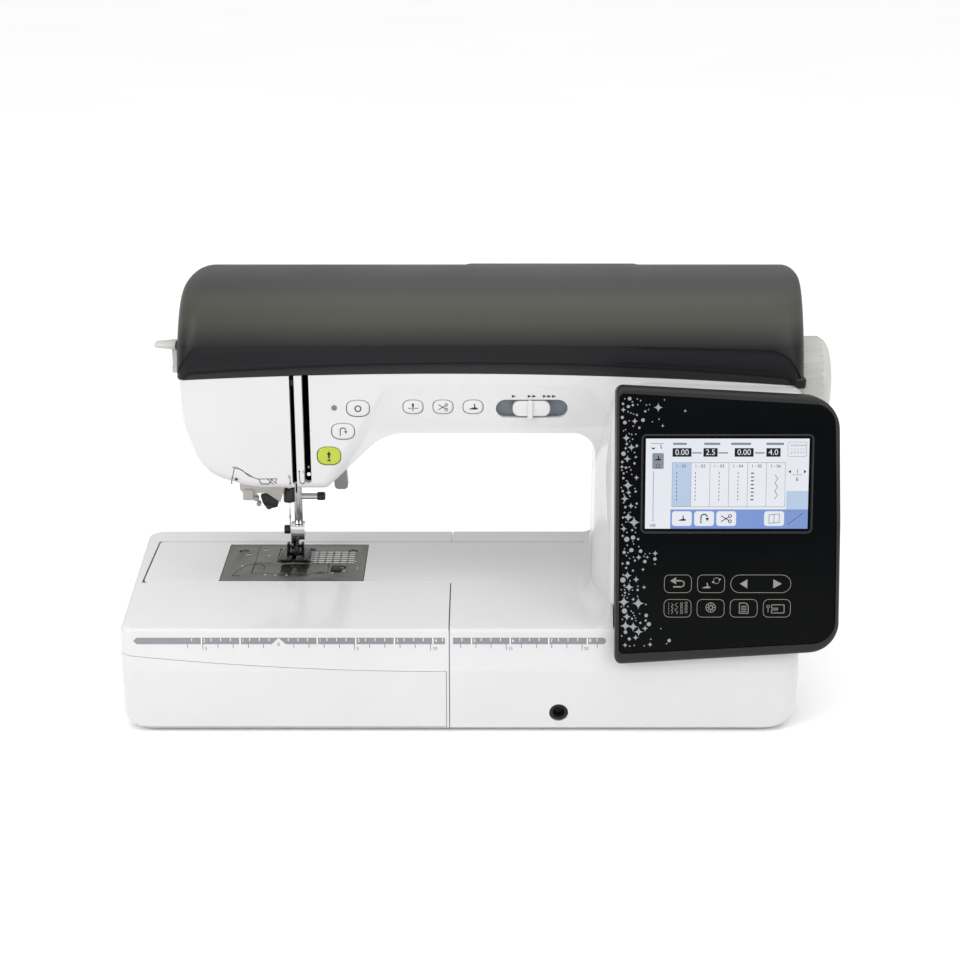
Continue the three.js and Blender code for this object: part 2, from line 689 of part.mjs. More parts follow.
function panelFace() {
  const { x0, x1, v0, v1, bezel } = LCD;
  return cut(
    alongY(outline(FACE_CORNERS), 0.3, 2.6),
    alongY(rectangle(x0 - bezel, v0 - bezel, x1 + bezel, v1 + bezel, 2), -1, 4),
  );
}

function lcdScreen() {
  const edge = LCD.bezel - 0.5;
  return alongY(rectangle(LCD.x0 - edge, LCD.v0 - edge, LCD.x1 + edge, LCD.v1 + edge, 1.6), 1, 2.6);
}

const circuitBoard = () => box(100, 9, 40, 218, 10.6, 150);

// ---------------------------------------------------------------- needle and foot
function needleBar() {
  const { x, y, barR, barFoot, barTop, studZ } = NEEDLE;
  return join(rodZ(barFoot, barTop, x, y, barR), rodX(x, -120.4, y, studZ, 3, 12));
}

function needleClamp() {
  const { x, y, barR } = NEEDLE;
  return cut(rodZ(118.6, 128.4, x, y, 4.2), rodZ(118, 129, x, y, barR + 0.3));
}

function needleClampScrew() {
  const { x, y } = NEEDLE;
  return join(rodX(x + 4.5, -111.5, y, 122.4, 2.1, 12), rodX(-112, -106.3, y, 122.4, 3, 12));
}

function needle() {
  const { x, y, tip } = NEEDLE;
  const point = rodZ(tip, tip + 3, x, y, 0.05, 8, 0.45);
  const blade = rodZ(tip + 3, 106, x, y, 0.45, 8);
  const shank = rodZ(106, 118.3, x, y, 0.95, 8);
  return join(point, blade, shank);
}

const presserBar = () => rodZ(PRESSER.foot, PRESSER.top, PRESSER.x, PRESSER.y, PRESSER.r);

function footHolder() {
  const { pinY, pinZ } = FOOT;
  const shank = box(-132.4, 123, 87, -122.6, 133, 97.6);
  const hook = box(-132.4, pinY - 2.6, pinZ - 2.6, -126.4, pinY + 2.6, 87);
  return cut(join(shank, hook), rodX(-140, -120, pinY, pinZ, 1.6, 12));
}

const holderScrew = () => rodX(-137, -132.8, FOOT.pinY, 94, 3.2, 16);

function presserFoot() {
  const { x, half, front, back, z, pinY, pinZ } = FOOT;
  const upper = [[back, z + 0.8], [back, z + 2.4], [front, z + 4.6]];
  const lower = [[front, z + 2.9], [front + 9.2, z], [back - 3, z]];
  const sole = alongX(shapeOf([...upper, ...lower]), x - half, x + half);
  const lug = (x0) => alongX(rectangle(pinY - 3, z + 1, pinY + 3, pinZ + 2.6, 1), x0, x0 + 2);
  return cut(
    join(sole, lug(-135.4), lug(-125.4), rodX(-135, -124, pinY, pinZ, 1.2, 10)),
    box(x - 1.6, front - 1, 70, x + 1.6, 115, 80),
    box(-135, 114, 70, -124, 121, 80),
  );
}

function presserLever() {
  const { x, y0, y1, z } = LEVER;
  const left = [[x - 5, z + 5, 4], [x - 5, z - 6, 0], [-104.5, 122, 4], [-103.4, 110, 3]];
  const right = [[-93.5, 110, 3], [-94.5, 124, 8], [x + 6, z + 5, 4]];
  return alongY(outline([...left, ...right]), y0, y1);
}

function needleThreader() {
  const left = [[-165.7, 137], [-165.7, 130], [-163.8, 127.5], [-163.8, 121.7], [-155, 121.7]];
  const right = [[-153.5, 127], [-147.7, 127.5], [-137.6, 120], [-134.2, 131], [-134.2, 137]];
  return join(alongY(shapeOf([...left, ...right]), 110.8, 112.8), rodZ(136, 222, -158, 111.8, 2, 12));
}

function threaderLever() {
  const grip = alongX(rectangle(78.5, 239.6, 91.5, 246.2, 3), -214, -199.4);
  return join(grip, box(-203, 82, 224, -184, 88, 228.6), box(-203, 82, 224, -199.4, 88, 241));
}

// ---------------------------------------------------------------- bed mechanism
const wedge = (y0, y1, z0, z1, x0, x1) => {
  const run = (z1 - z0) / tan(WINDOW.slope);
  return alongX(shapeOf([[y0 + run, z0], [y1, z0], [y1, z1], [y0, z1]]), x0, x1);
};

function needlePlate() {
  const { x0, x1, y0, y1, t } = PLATE;
  const top = BED.top;
  const left = WINDOW.x0 - GAP;
  const right = WINDOW.x1 + GAP;
  const window = wedge(WINDOW.y0 - 1.4, WINDOW.y1 + GAP, top - WINDOW.t - 0.2, top + 0.3, left, right);
  const play = FEED.travel + 0.6;
  const feedSlot = (row) =>
    box(row.x0 - 0.5, row.y0 - play, top - 4, row.x1 + 0.5, FEED.back + play, top + 1);
  return cut(
    alongZ(rectangle(x0, y0, x1, y1, 2), top - t, top),
    window,
    box(WINDOW.x0 + 2.5, WINDOW.y0 + 7.5, top - 4, WINDOW.x1 - 2.5, WINDOW.y1 - 1.4, top + 1),
    box(-135.2, 116.7, top - 4, -123.6, 119.3, top + 1),
    ...FEED_ROWS.map(feedSlot),
    box(-102.4, 97.6, top - 1.6, -92, 108.4, top + 1),
    rodZ(top - 1.2, top + 1, -168, 136, 3.4, 12),
    rodZ(top - 1.2, top + 1, -89, 136, 3.4, 12),
  );
}

const bobbinCover = () =>
  wedge(WINDOW.y0, WINDOW.y1, BED.top - WINDOW.t, BED.top, WINDOW.x0, WINDOW.x1);
const bobbinCoverLatch = () => box(-102, 98, BED.top - 1.3, -95.6, 108, BED.top + 0.7);

function rotaryHook() {
  const { x, y, r, top, bottom } = HOOK;
  const stem = [[0, bottom], [5.3, bottom], [5.3, 46]];
  return lathe([...stem, [r, 50], [r, top], [13, top], [13, 52.5], [0, 52.5]], x, y);
}

function bobbinCase() {
  const half = [[3, 53], [12.6, 53], [12.6, 67.4], [11, 67.4], [11, 54.6], [3, 54.6]];
  return lathe(half, HOOK.x, HOOK.y);
}

function bobbin() {
  const lower = [[3, 55], [10.2, 55], [10.2, 56.2], [5, 56.2]];
  const upper = [[5, 65.3], [10.2, 65.3], [10.2, 66.5], [3, 66.5]];
  return lathe([...lower, ...upper], HOOK.x, HOOK.y);
}

function feedDog() {
  const rows = FEED_ROWS.map((row) => box(row.x0, row.y0, 64, row.x1, FEED.back, FEED.top));
  const teeth = Array.from({ length: 9 }, (_, i) => {
    const y = 119 + i * 2.2;
    const groove = [[y, FEED.top + 0.2], [y + 0.7, FEED.top - 0.7], [y + 1.4, FEED.top + 0.2]];
    return alongX(shapeOf(groove), -145, -110);
  });
  return cut(join(box(-141.5, 125, 62.4, -117.2, FEED.back, 66), ...rows), ...teeth);
}

function feedBar() {
  return join(box(-152, 125, 54, -108, 141, 62), box(-152, 128, 54, -60, 138, 58));
}

// ---------------------------------------------------------------- drive
function mainShaft() {
  const { y, z, r } = SHAFT;
  const pinZ = z + CRANK.throw;
  return join(
    rodX(CRANK.x0, 217, y, z, r),
    rodX(CRANK.x0, CRANK.x1, y, z, CRANK.r, 28),
    rodX(-119, CRANK.x0, y, pinZ, 3, 12),
    rodX(BELT.x0, BELT.x1, y, z, BELT.r, 20),
    rodX(194, 201, y, z, 9, 20),
  );
}

function connectingRod() {
  const { y, z } = SHAFT;
  const pinZ = z + CRANK.throw;
  const web = box(-117.6, y - 2.6, NEEDLE.studZ + 3, -113.4, y + 2.6, pinZ - 3);
  return cut(
    join(web, rodX(-117.6, -113.4, y, pinZ, 5.6), rodX(-117.6, -113.4, y, NEEDLE.studZ, 5.6)),
    rodX(-120, -110, y, pinZ, 3.4, 12),
    rodX(-120, -110, y, NEEDLE.studZ, 3.3, 12),
  );
}

function handwheel() {
  const { y, z } = SHAFT;
  const rim = [[4.5, 218.4], [29, 218.4], [30.5, 222], [30.5, 236], [27, 241.5], [20, 243]];
  const profile = [...rim, [18, 240], [0, 240], [0, 228], [4.5, 228]];
  const points = [...profile, profile[0]].map(([r, x]) => new THREE.Vector2(r, x));
  return solidOf(new THREE.LatheGeometry(points, 36).rotateZ(-Math.PI / 2).translate(0, y, z));
}

function lowerShaft() {
  const { y, z, r, gear } = LOWER;
  return join(
    rodX(-142, 188, y, z, r),
    rodX(-138, -126, y, z, gear, 24),
    rodX(BELT.x0, BELT.x1, y, z, BELT.r, 20),
  );
}

// A belt round two pulleys centred at a and b, of radius ra and rb.
function loop(a, b, ra, rb, x0, x1) {
  const ring = (grow) => {
    const dir = Math.atan2(b[1] - a[1], b[0] - a[0]);
    const distance = Math.hypot(b[0] - a[0], b[1] - a[1]);
    const lean = Math.acos((ra - rb) / distance);
    const shape = new THREE.Shape();
    shape.absarc(a[0], a[1], ra + grow, dir + lean, dir - lean + 2 * Math.PI, false);
    shape.absarc(b[0], b[1], rb + grow, dir - lean, dir + lean, false);
    return shape;
  };
  return cut(alongX(ring(1.6), x0, x1, 8), alongX(ring(0), x0 - 1, x1 + 1, 8));
}

function timingBelt() {
  const r = BELT.r + GAP;
  return loop([SHAFT.y, SHAFT.z], [LOWER.y, LOWER.z], r, r, BELT.x0, BELT.x1);
}

const driveBelt = () => loop([SHAFT.y, SHAFT.z], [MOTOR.y, MOTOR.z], 9.4, 7.4, 194, 201);

function driveMotor() {
  const { x0, x1, y, z, r } = MOTOR;
  return join(rodX(x0, x1, y, z, r, 24), rodX(x1 - 1, 203, y, z, 3, 12), rodX(193, 202, y, z, 7));
}

function armFrame() {
  const left = [[-150, 220], [-150, 154], [-106, 154], [-92, 197]];
  const right = [[106, 197], [114, 186], [114, 14], [170, 14], [170, 220]];
  const plate = alongY(shapeOf([...left, ...right]), 146, 151);
  const bearing = (x0, x1, y, z, r) =>
    cut(box(x0, y - 9, z - 11, x1, 147, z + 11), rodX(x0 - 1, x1 + 1, y, z, r + GAP));
  const guide = (z0, z1) =>
    cut(
      box(-142, 110, z0, -121.4, 147, z1),
      rodZ(z0 - 1, z1 + 1, NEEDLE.x, NEEDLE.y, NEEDLE.barR + GAP),
      rodZ(z0 - 1, z1 + 1, PRESSER.x, PRESSER.y, PRESSER.r + GAP),
    );
  return join(
    plate,
    bearing(-99, -91, SHAFT.y, SHAFT.z, SHAFT.r),
    bearing(160, 168, SHAFT.y, SHAFT.z, SHAFT.r),
    bearing(116, 124, LOWER.y, LOWER.z, LOWER.r),
    bearing(-120, -112, LOWER.y, LOWER.z, LOWER.r),
    box(-160, 144, 27, 116, 149, 49),
    guide(154.5, 160),
    guide(206, 211),
    box(-131, 96, 206, -124.6, 111, 211),
    rodX(-125, -119.6, TAKE_UP.pivotY, TAKE_UP.pivotZ, 1.8, 12),
  );
}

function takeUpLever() {
  const x0 = TAKE_UP.x - TAKE_UP.t / 2;
  const x1 = TAKE_UP.x + TAKE_UP.t / 2;
  const hub = [[97, 204.5], [102, 204.5], [104, 207], [104, 210], [102, 212.5]];
  const tip = [[90, 213], [66, 226], [63, 225], [62.8, 221], [86, 206]];
  return cut(
    alongX(shapeOf([...hub, ...tip]), x0, x1),
    rodX(x0 - 1, x1 + 1, TAKE_UP.pivotY, TAKE_UP.pivotZ, 2.2, 12),
    rodX(x0 - 1, x1 + 1, 66, 222.6, 1.2, 8),
  );
}

// ---------------------------------------------------------------- assembly
FEET.forEach(([x, y], i) => place(`rubber_foot_${i + 1}`, rodZ(0, 2.1, x, y, 8, 16), rubber));
place("base_plate", basePlate(), darkPlastic);
place("front_cover", frontCover(), whitePlastic);
place("rear_cover", rearCover(), whitePlastic);
place("free_arm_cover", freeArmCover(), whitePlastic);
place("flatbed_attachment", flatbedAttachment(), whitePlastic);
place("accessory_door", accessoryDoor(), whitePlastic);
place("top_tray", topTray(), darkPlastic);
place("lid", lid(), darkPlastic);
place("carry_handle", carryHandle(), darkPlastic);
place("spool_pin", spoolPin(), greyPlastic);
place("spool_cap", spoolCap(), greyPlastic);
place("bobbin_winder", bobbinWinder(), paleGrey);
for (const b of BUTTONS) {
  place(b.name, pushButton(b), b.name === "start_stop_button" ? limePlastic : whitePlastic);
}
place("status_lamp", statusLamp(), limePlastic);
place("speed_slider", speedSlider(), whitePlastic);
place("panel_housing", panelHousing(), darkPlastic, panel);
place("panel_face", panelFace(), blackGloss, panel);
place("lcd_screen", lcdScreen(), screenGlass, panel);
place("circuit_board", circuitBoard(), boardGreen, panel);
place("needle_bar", needleBar(), chrome);
place("needle_clamp", needleClamp(), chrome);
place("needle_clamp_screw", needleClampScrew(), blackMetal);
place("needle", needle(), chrome);
place("presser_bar", presserBar(), chrome);
place("foot_holder", footHolder(), chrome);
place("holder_screw", holderScrew(), blackMetal);
place("presser_foot", presserFoot(), chrome);
place("presser_lever", presserLever(), paleGrey);
place("needle_threader", needleThreader(), greyPlastic);
place("threader_lever", threaderLever(), greyPlastic);
place("needle_plate", needlePlate(), steel);
place("bobbin_cover", bobbinCover(), smokedClear);
place("bobbin_cover_latch", bobbinCoverLatch(), darkPlastic);
place("rotary_hook", rotaryHook(), steel);
place("bobbin_case", bobbinCase(), blackMetal);
place("bobbin", bobbin(), smokedClear);
place("feed_dog", feedDog(), steel);
place("feed_bar", feedBar(), castMetal);
place("main_shaft", mainShaft(), steel);
place("connecting_rod", connectingRod(), castMetal);
place("handwheel", handwheel(), paleGrey);
place("lower_shaft", lowerShaft(), steel);
place("timing_belt", timingBelt(), rubber);
place("drive_belt", driveBelt(), rubber);
place("drive_motor", driveMotor(), blackMetal);
place("arm_frame", armFrame(), castMetal);
place("take_up_lever", takeUpLever(), chrome);
place("knee_lifter_socket", kneeLifterSocket(), darkPlastic);
place("feed_dog_lever", feedDogLever(), darkPlastic);
place("power_switch", powerSwitch(), darkPlastic);
place("power_inlet", powerInlet(), darkPlastic);

export default machine;
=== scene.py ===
# The sewing machine's looks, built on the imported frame. Lengths are in millimetres in the
# machine's own layout: X along the bed, Y from the bed's front top edge to the back, Z up from
# the table. The function at() turns them into the row's frame, in metres.
import random
from math import acos, atan2, copysign, cos, exp, hypot, pi, radians, sin, sqrt, tan

import bmesh
import bpy
from mathutils import Matrix, Vector


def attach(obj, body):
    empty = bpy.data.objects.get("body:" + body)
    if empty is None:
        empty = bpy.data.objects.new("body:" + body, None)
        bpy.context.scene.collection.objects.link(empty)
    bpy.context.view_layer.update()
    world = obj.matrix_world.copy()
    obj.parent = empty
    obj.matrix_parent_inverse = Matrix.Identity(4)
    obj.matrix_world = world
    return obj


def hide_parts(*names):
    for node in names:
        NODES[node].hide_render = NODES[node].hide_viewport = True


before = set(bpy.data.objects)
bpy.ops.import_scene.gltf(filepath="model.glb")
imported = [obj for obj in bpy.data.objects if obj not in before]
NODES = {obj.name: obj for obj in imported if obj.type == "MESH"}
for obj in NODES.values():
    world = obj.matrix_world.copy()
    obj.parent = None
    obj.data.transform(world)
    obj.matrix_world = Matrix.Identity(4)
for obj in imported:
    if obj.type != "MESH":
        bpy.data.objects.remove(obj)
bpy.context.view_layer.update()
scene = bpy.context.scene

DEPTH = 109.05  # the row frame's origin, behind the bed's front edge
TILT = radians(12)  # how far the display leans back
SPLIT = 118  # Y where the front and rear casings meet
UNDER = 186.5  # Z of the arm's underside
BED_TOP = 73
BED_BACK = 177
SKIRT = 2.5  # Z of the casings' lower edge
SHAFT = (118, 208)  # Y and Z of the main shaft and handwheel
CLAMP_SCREW = (118, 122.4)  # Y and Z of the needle clamp screw
HANDLE_PIN = (165, 250)  # Y and Z of the carry handle's hinge
LENS = 69.03  # for a frame 36 mm wide


def cover_top(x):
    return 229.8 - 1.55e-4 * (x + 22) ** 2


def lid_low(x):
    return 237.45 - (2.03e-4 if x < 0 else 2.44e-4) * x**2


def door_top(x):
    return 45 + 2.4e-4 * (x + 18) ** 2


def at(x, y, z):
    return Vector((x / 1000, (y - DEPTH) / 1000, z / 1000))


def on_panel(x, v, y=0.0):
    return at(x, -14 + v * sin(TILT) + y * cos(TILT), 54 + v * cos(TILT) - y * sin(TILT))


# ---------------------------------------------------------------- materials
def linear(code):
    part = [int(code[i : i + 2], 16) / 255 for i in (1, 3, 5)]
    return [c / 12.92 if c <= 0.04045 else ((c + 0.055) / 1.055) ** 2.4 for c in part] + [1.0]


def shader(name):
    m = bpy.data.materials.new(name)
    m.use_nodes = True
    return m, m.node_tree, m.node_tree.nodes["Principled BSDF"]


def feed(node, **sockets):
    """Links or sets the sockets of a node, named with _ for each space."""
    for key, value in sockets.items():
        socket = node.inputs[key.replace("_", " ")]
        if isinstance(value, bpy.types.NodeSocket):
            node.id_data.links.new(value, socket)
        else:
            socket.default_value = value
    return node


def add(tree, kind, **sockets):
    return feed(tree.nodes.new("ShaderNode" + kind), **sockets)


def object_place(tree):
    return add(tree, "TexCoord").outputs["Object"]


def noise(tree, scale, detail, roughness=0.5, vector=None):
    place = vector or object_place(tree)
    return add(tree, "TexNoise", Scale=scale, Detail=detail, Roughness=roughness, Vector=place).outputs["Fac"]


def spread(tree, source, low, high):
    span = dict(From_Min=0.3, From_Max=0.7, To_Min=low, To_Max=high)
    return add(tree, "MapRange", Value=source, **span).outputs["Result"]


def ramp(tree, source, stops):
    """Colours at (position, colour) stops: the two ends first, then any between them."""
    made = add(tree, "ValToRGB", Fac=source)
    elements = made.color_ramp.elements
    for i, (spot, code) in enumerate(stops):
        element = elements[i] if i < 2 else elements.new(spot)
        element.position = spot
        element.color = linear(code)
    return made.outputs["Color"]


def tint(tree, source, a, b):
    return ramp(tree, source, [(0.3, a), (0.7, b)])


def bump(tree, bsdf, height, strength):
    relief = add(tree, "Bump", Strength=strength, Distance=0.0002, Height=height)
    feed(bsdf, Normal=relief.outputs["Normal"])


def grained(tree, bsdf, slow, rough, grain, strength, specular):
    """The roughness, relief and gloss that the moulded plastics share."""
    feed(bsdf, Roughness=spread(tree, slow, rough * 0.85, rough * 1.2), Specular_IOR_Level=specular)
    bump(tree, bsdf, noise(tree, grain, 2, 0.6), strength)


def plastic(name, colour, other, rough, grain=900, strength=0.05, coat=0.0, specular=0.5):
    m, tree, bsdf = shader(name)
    slow = noise(tree, 14, 3)
    grained(tree, bsdf, slow, rough, grain, strength, specular)
    feed(bsdf, Base_Color=tint(tree, slow, colour, other), Coat_Weight=coat, Coat_Roughness=0.06)
    return m


def metal(name, colour, other, rough, streak=(1, 1, 1), grain=400, strength=0.08):
    m, tree, bsdf = shader(name)
    squeeze = add(tree, "Mapping", Scale=streak, Vector=object_place(tree))
    fine = noise(tree, grain, 3, vector=squeeze.outputs["Vector"])
    feed(
        bsdf,
        Metallic=1.0,
        Base_Color=tint(tree, noise(tree, 60, 2), colour, other),
        Roughness=spread(tree, fine, rough * 0.7, rough * 1.3),
    )
    bump(tree, bsdf, fine, strength)
    return m


def glow(name, colour, other, power):
    """A lit screen colour over a nearly black base."""
    m, tree, bsdf = shader(name)
    feed(
        bsdf,
        Base_Color=tint(tree, noise(tree, 400, 2), "#08090A", "#0B0C0D"),
        Emission_Color=tint(tree, noise(tree, 30, 1), colour, other),
        Emission_Strength=power,
        Roughness=0.4,
        Specular_IOR_Level=0.05,
    )
    return m


def graded(name, stops, low, high, rough, painted_shade_end, fade=130):
    """A plastic whose colour runs up the object from low to high, in millimetres, as painted highlight and
    shade, and darkens to one end as painted shade.
    """
    m, tree, bsdf = shader(name)
    parts = add(tree, "SeparateXYZ", Vector=object_place(tree))
    rise = add(tree, "MapRange", From_Min=low / 1000, From_Max=high / 1000, Value=parts.outputs["Z"])
    # Painted shade: the colour is scaled down to 0.8 towards the darker end.
    span = dict(From_Min=painted_shade_end / 1000, From_Max=(painted_shade_end + fade) / 1000, To_Min=0.8)
    along = add(tree, "MapRange", Value=parts.outputs["X"], **span)
    along.interpolation_type = "SMOOTHSTEP"
    shaded = tree.nodes.new("ShaderNodeVectorMath")
    shaded.operation = "SCALE"
    tree.links.new(ramp(tree, rise.outputs["Result"], stops), shaded.inputs[0])
    feed(shaded, Scale=along.outputs["Result"])
    feed(bsdf, Base_Color=shaded.outputs["Vector"])
    grained(tree, bsdf, noise(tree, 14, 3), rough, 1500, 0.08, 0.2)
    return m


def clear(name, colour, rough, alpha):
    m, tree, bsdf = shader(name)
    slow = noise(tree, 40, 2)
    feed(bsdf, Base_Color=tint(tree, slow, colour, colour), Alpha=alpha, Coat_Weight=1.0)
    feed(bsdf, Roughness=spread(tree, slow, rough, rough * 1.6))
    return m


WHITE = plastic("white_gloss", "#CFCFD0", "#CCCCCD", 0.16, 700, 0.015, 0.2, 0.4)
CHARCOAL = plastic("charcoal_satin", "#333536", "#2F3132", 0.42, 1500, 0.08, 0, 0.35)
# Painted light on the lid, up its height: the near-black stops paint the shade below the crease, and the
# olive middle stops paint a highlight band.
LID_PAINTED_LIGHT_STOPS = [
    (0.0, "#151618"),
    (1.0, "#3D3F3E"),
    (0.19, "#191A1C"),
    (0.25, "#28292A"),
    (0.5, "#43423C"),
    (0.75, "#454641"),
]
# The lid's graphite colour, with painted shade below the crease and towards its left end and a painted
# highlight across its middle.
LID_GREY_PAINTED_LIGHT = graded("lid_graphite_painted_light", LID_PAINTED_LIGHT_STOPS, 238, 289.5, 0.42, -200)
TRIM = plastic("charcoal_trim", "#1E1F21", "#1B1C1D", 0.45, 1500, 0.08, 0, 0.3)
RIM = plastic("panel_rim_grey", "#1F2020", "#1B1C1C", 0.45, 1500, 0.06, 0, 0.3)
GLOSS = plastic("black_gloss", "#060708", "#08090A", 0.14, 300, 0.005, 0, 0.05)
BEZEL = plastic("bezel_grey", "#242628", "#27292B", 0.4, 900, 0.02, 0, 0.2)
PIT = plastic("deep_shade", "#030303", "#040404", 0.9, 400, 0.02, 0, 0.02)
GREY = plastic("grey_plastic", "#7A7D81", "#73767A", 0.4, 900, 0.06)
SLATE = plastic("slate_plastic", "#6F777F", "#666E76", 0.42, 900, 0.06)
PALE = plastic("pale_grey_plastic", "#BDBDBA", "#B8B8B5", 0.3, 900, 0.04)
WARM = plastic("warm_grey_plastic", "#A9A6A2", "#A19E99", 0.38)
WARM_PALE = plastic("warm_pale_plastic", "#B7B2AC", "#AFAAA3", 0.38)
LIME = plastic("lime_button", "#B2BD2A", "#A9B522", 0.22, 600, 0.03, 0.5)
RUBBER = plastic("black_rubber", "#171717", "#1E1E1E", 0.75, 500, 0.3)
BOARD = plastic("circuit_board", "#1D5A33", "#184C2B", 0.5, 200, 0.3)
BLACK = plastic("black_oxide", "#121213", "#19191B", 0.34, 300, 0.1)
CHROME = metal("polished_chrome", "#D9DADB", "#C9CACC", 0.1, (1, 1, 1), 500, 0.02)
STEEL = metal("brushed_steel", "#9A9B9B", "#8B8C8C", 0.3, (0.05, 1, 1), 1800, 0.06)
DARK_STEEL = metal("dark_steel", "#3B3B3A", "#2C2C2B", 0.22, (1, 1, 1), 500, 0.04)
PLATE = metal("plate_steel", "#757470", "#6E6D69", 0.34, (0.04, 1, 1), 2500, 0.05)
CAST = metal("cast_alloy", "#8C8E90", "#7C7E80", 0.55, (1, 1, 1), 350, 0.4)
SMOKED = clear("smoked_clear", "#4B4A44", 0.05, 0.55)
MARK_GREY = plastic("ruler_grey", "#83878B", "#7C8084", 0.3, 900, 0.03)
MARK_INK = plastic("printed_ink", "#17191B", "#1C1E20", 0.45, 900, 0.02)
MARK_WHITE = plastic("printed_white", "#F2F2F2", "#EBEBEB", 0.35, 900, 0.02)
MARK_DARK = plastic("printed_grey", "#54575A", "#4C4F52", 0.4, 900, 0.02)
MARK_PALE = plastic("printed_pale", "#85867D", "#7D7E76", 0.4, 900, 0.02)
MARK_STAR = plastic("printed_star", "#8E9194", "#86898C", 0.4, 900, 0.02)
SHADOW = plastic("seam_shadow", "#3A3A3A", "#333333", 0.8, 900, 0.02)
SCREEN = glow("screen_white", "#EDF0F6", "#E9EDF4", 0.95)
SCREEN_BLUE = glow("screen_blue", "#7F9BDB", "#86A2DE", 0.9)
SCREEN_LIGHT = glow("screen_light_blue", "#B9CDE8", "#C0D2EA", 0.95)
SCREEN_INK = glow("screen_ink", "#23272E", "#2A2E35", 0.6)
SCREEN_GREY = glow("screen_grey", "#8993A1", "#929BA8", 0.85)


# ---------------------------------------------------------------- mesh helpers
def soft_corners(corners, inset=0.0, arc=7):
    """Points of a polygon with rounded corners [a, b, radius], moved inwards by inset."""
    n = len(corners)
    after = corners[1:] + corners[:1]
    area = sum(p[0] * q[1] - q[0] * p[1] for p, q in zip(corners, after))
    turn = 1 if area > 0 else -1
    points = []
    for i in range(n):
        p, q, r = (Vector(c[:2]) for c in (corners[i - 1], corners[i], after[i]))
        u = (q - p).normalized()
        w = (r - q).normalized()
        cross = u.x * w.y - u.y * w.x
        nu = Vector((-u.y, u.x)) * turn * inset
        nw = Vector((-w.y, w.x)) * turn * inset
        radius = corners[i][2] if len(corners[i]) > 2 else 0
        if abs(cross) < 1e-6:
            points.append(q + nu)
            continue
        a = p + nu
        b = q + nw
        t = ((b - a).x * w.y - (b - a).y * w.x) / cross
        corner = a + u * t
        if radius <= 0:
            points.append(corner)
            continue
        radius = max(radius + (-inset if cross * turn > 0 else inset), 0.02)
        bend = acos(max(-1.0, min(1.0, u.dot(w))))
        side = 1 if cross > 0 else -1
        start = corner - u * radius * tan(bend / 2)
        centre = start + Vector((-u.y, u.x)) * side * radius
        angle = atan2(start.y - centre.y, start.x - centre.x)
        for k in range(arc + 1):
            g = angle + side * bend * k / arc
            points.append(centre + Vector((cos(g), sin(g))) * radius)
    return points


AXES = {
    "x": lambda a, b, s: at(s, a, b),
    "y": lambda a, b, s: at(a, s, b),
    "z": at,
    "p": on_panel,
}


def fillet_rings(s0, s1, r0, r1, steps=6):
    """(station, inset) pairs of a bar whose two ends are rounded by r0 and r1."""
    turn = 1 if s1 > s0 else -1
    quarter = [k / steps * pi / 2 for k in range(steps + 1)]
    first = [(s0 + turn * r0 * (1 - cos(g)), r0 * (1 - sin(g))) for g in quarter]
    last = [(s1 - turn * r1 * (1 - cos(g)), r1 * (1 - sin(g))) for g in quarter]
    return (first if r0 else [(s0, 0.0)]) + list(reversed(last if r1 else [(s1, 0.0)]))


def shade(mesh, angle=35):
    mesh.polygons.foreach_set("use_smooth", [True] * len(mesh.polygons))
    mesh.set_sharp_from_angle(angle=radians(angle))


def tidy(bm, angle=35):
    bmesh.ops.remove_doubles(bm, verts=bm.verts, dist=2e-6)
    bmesh.ops.dissolve_degenerate(bm, edges=bm.edges, dist=1e-6)
    bmesh.ops.recalc_face_normals(bm, faces=bm.faces)
    mesh = bpy.data.meshes.new("piece")
    bm.to_mesh(mesh)
    bm.free()
    shade(mesh, angle)
    return mesh


def loft(rings, angle=35, wrap=False):
    """A mesh through rings of points, capped at both ends or wrapped from the last to the first."""
    bm = bmesh.new()
    rows = [[bm.verts.new(p) for p in ring] for ring in rings]
    n = len(rows[0])
    for low, high in zip(rows, rows[1:] + rows[: int(wrap)]):
        for i in range(n):
            j = (i + 1) % n
            bm.faces.new((low[i], low[j], high[j], high[i]))
    if not wrap:
        bm.faces.new(rows[0])
        bm.faces.new(rows[-1])
    return tidy(bm, angle)


def sweep(corners, section, axis, arc=7, angle=35, wrap=False):
    """A loft of one outline through the (station, inset) pairs of section."""
    place = AXES[axis]
    rings = [[place(p.x, p.y, s) for p in soft_corners(corners, inset, arc)] for s, inset in section]
    return loft(rings, angle, wrap)


def prism(corners, s0, s1, axis, r0=0.0, r1=0.0, arc=7, steps=6, grow=0.0, angle=35):
    section = [(s, inset - grow) for s, inset in fillet_rings(s0, s1, r0, r1, steps)]
    return sweep(corners, section, axis, arc, angle)


def rect(a0, b0, a1, b1, r=0.0):
    return [[a0, b0, r], [a1, b0, r], [a1, b1, r], [a0, b1, r]]


def block(x0, y0, z0, x1, y1, z1):
    return prism(rect(x0, y0, x1, y1), z0, z1, "z")


def full_turn(count):
    return [2 * pi * k / count for k in range(count)]


def ellipse(cx, cz, a, b, count=48):
    return [[cx + a * cos(g), cz + b * sin(g), 0] for g in full_turn(count)]


def turned(profile, centre, axis="z", count=48, angle=35):
    """A turned piece: profile is [radius, station] pairs, closed on itself."""
    a, b = centre
    rings = [[AXES[axis](a + r * cos(g), b + r * sin(g), s) for g in full_turn(count)] for r, s in profile]
    return loft(rings, angle, wrap=True)


def linked(name, data):
    obj = bpy.data.objects.new(name, data)
    scene.collection.objects.link(obj)
    return obj


def evaluated_mesh(obj):
    bpy.context.view_layer.update()
    return bpy.data.meshes.new_from_object(obj.evaluated_get(bpy.context.evaluated_depsgraph_get()))


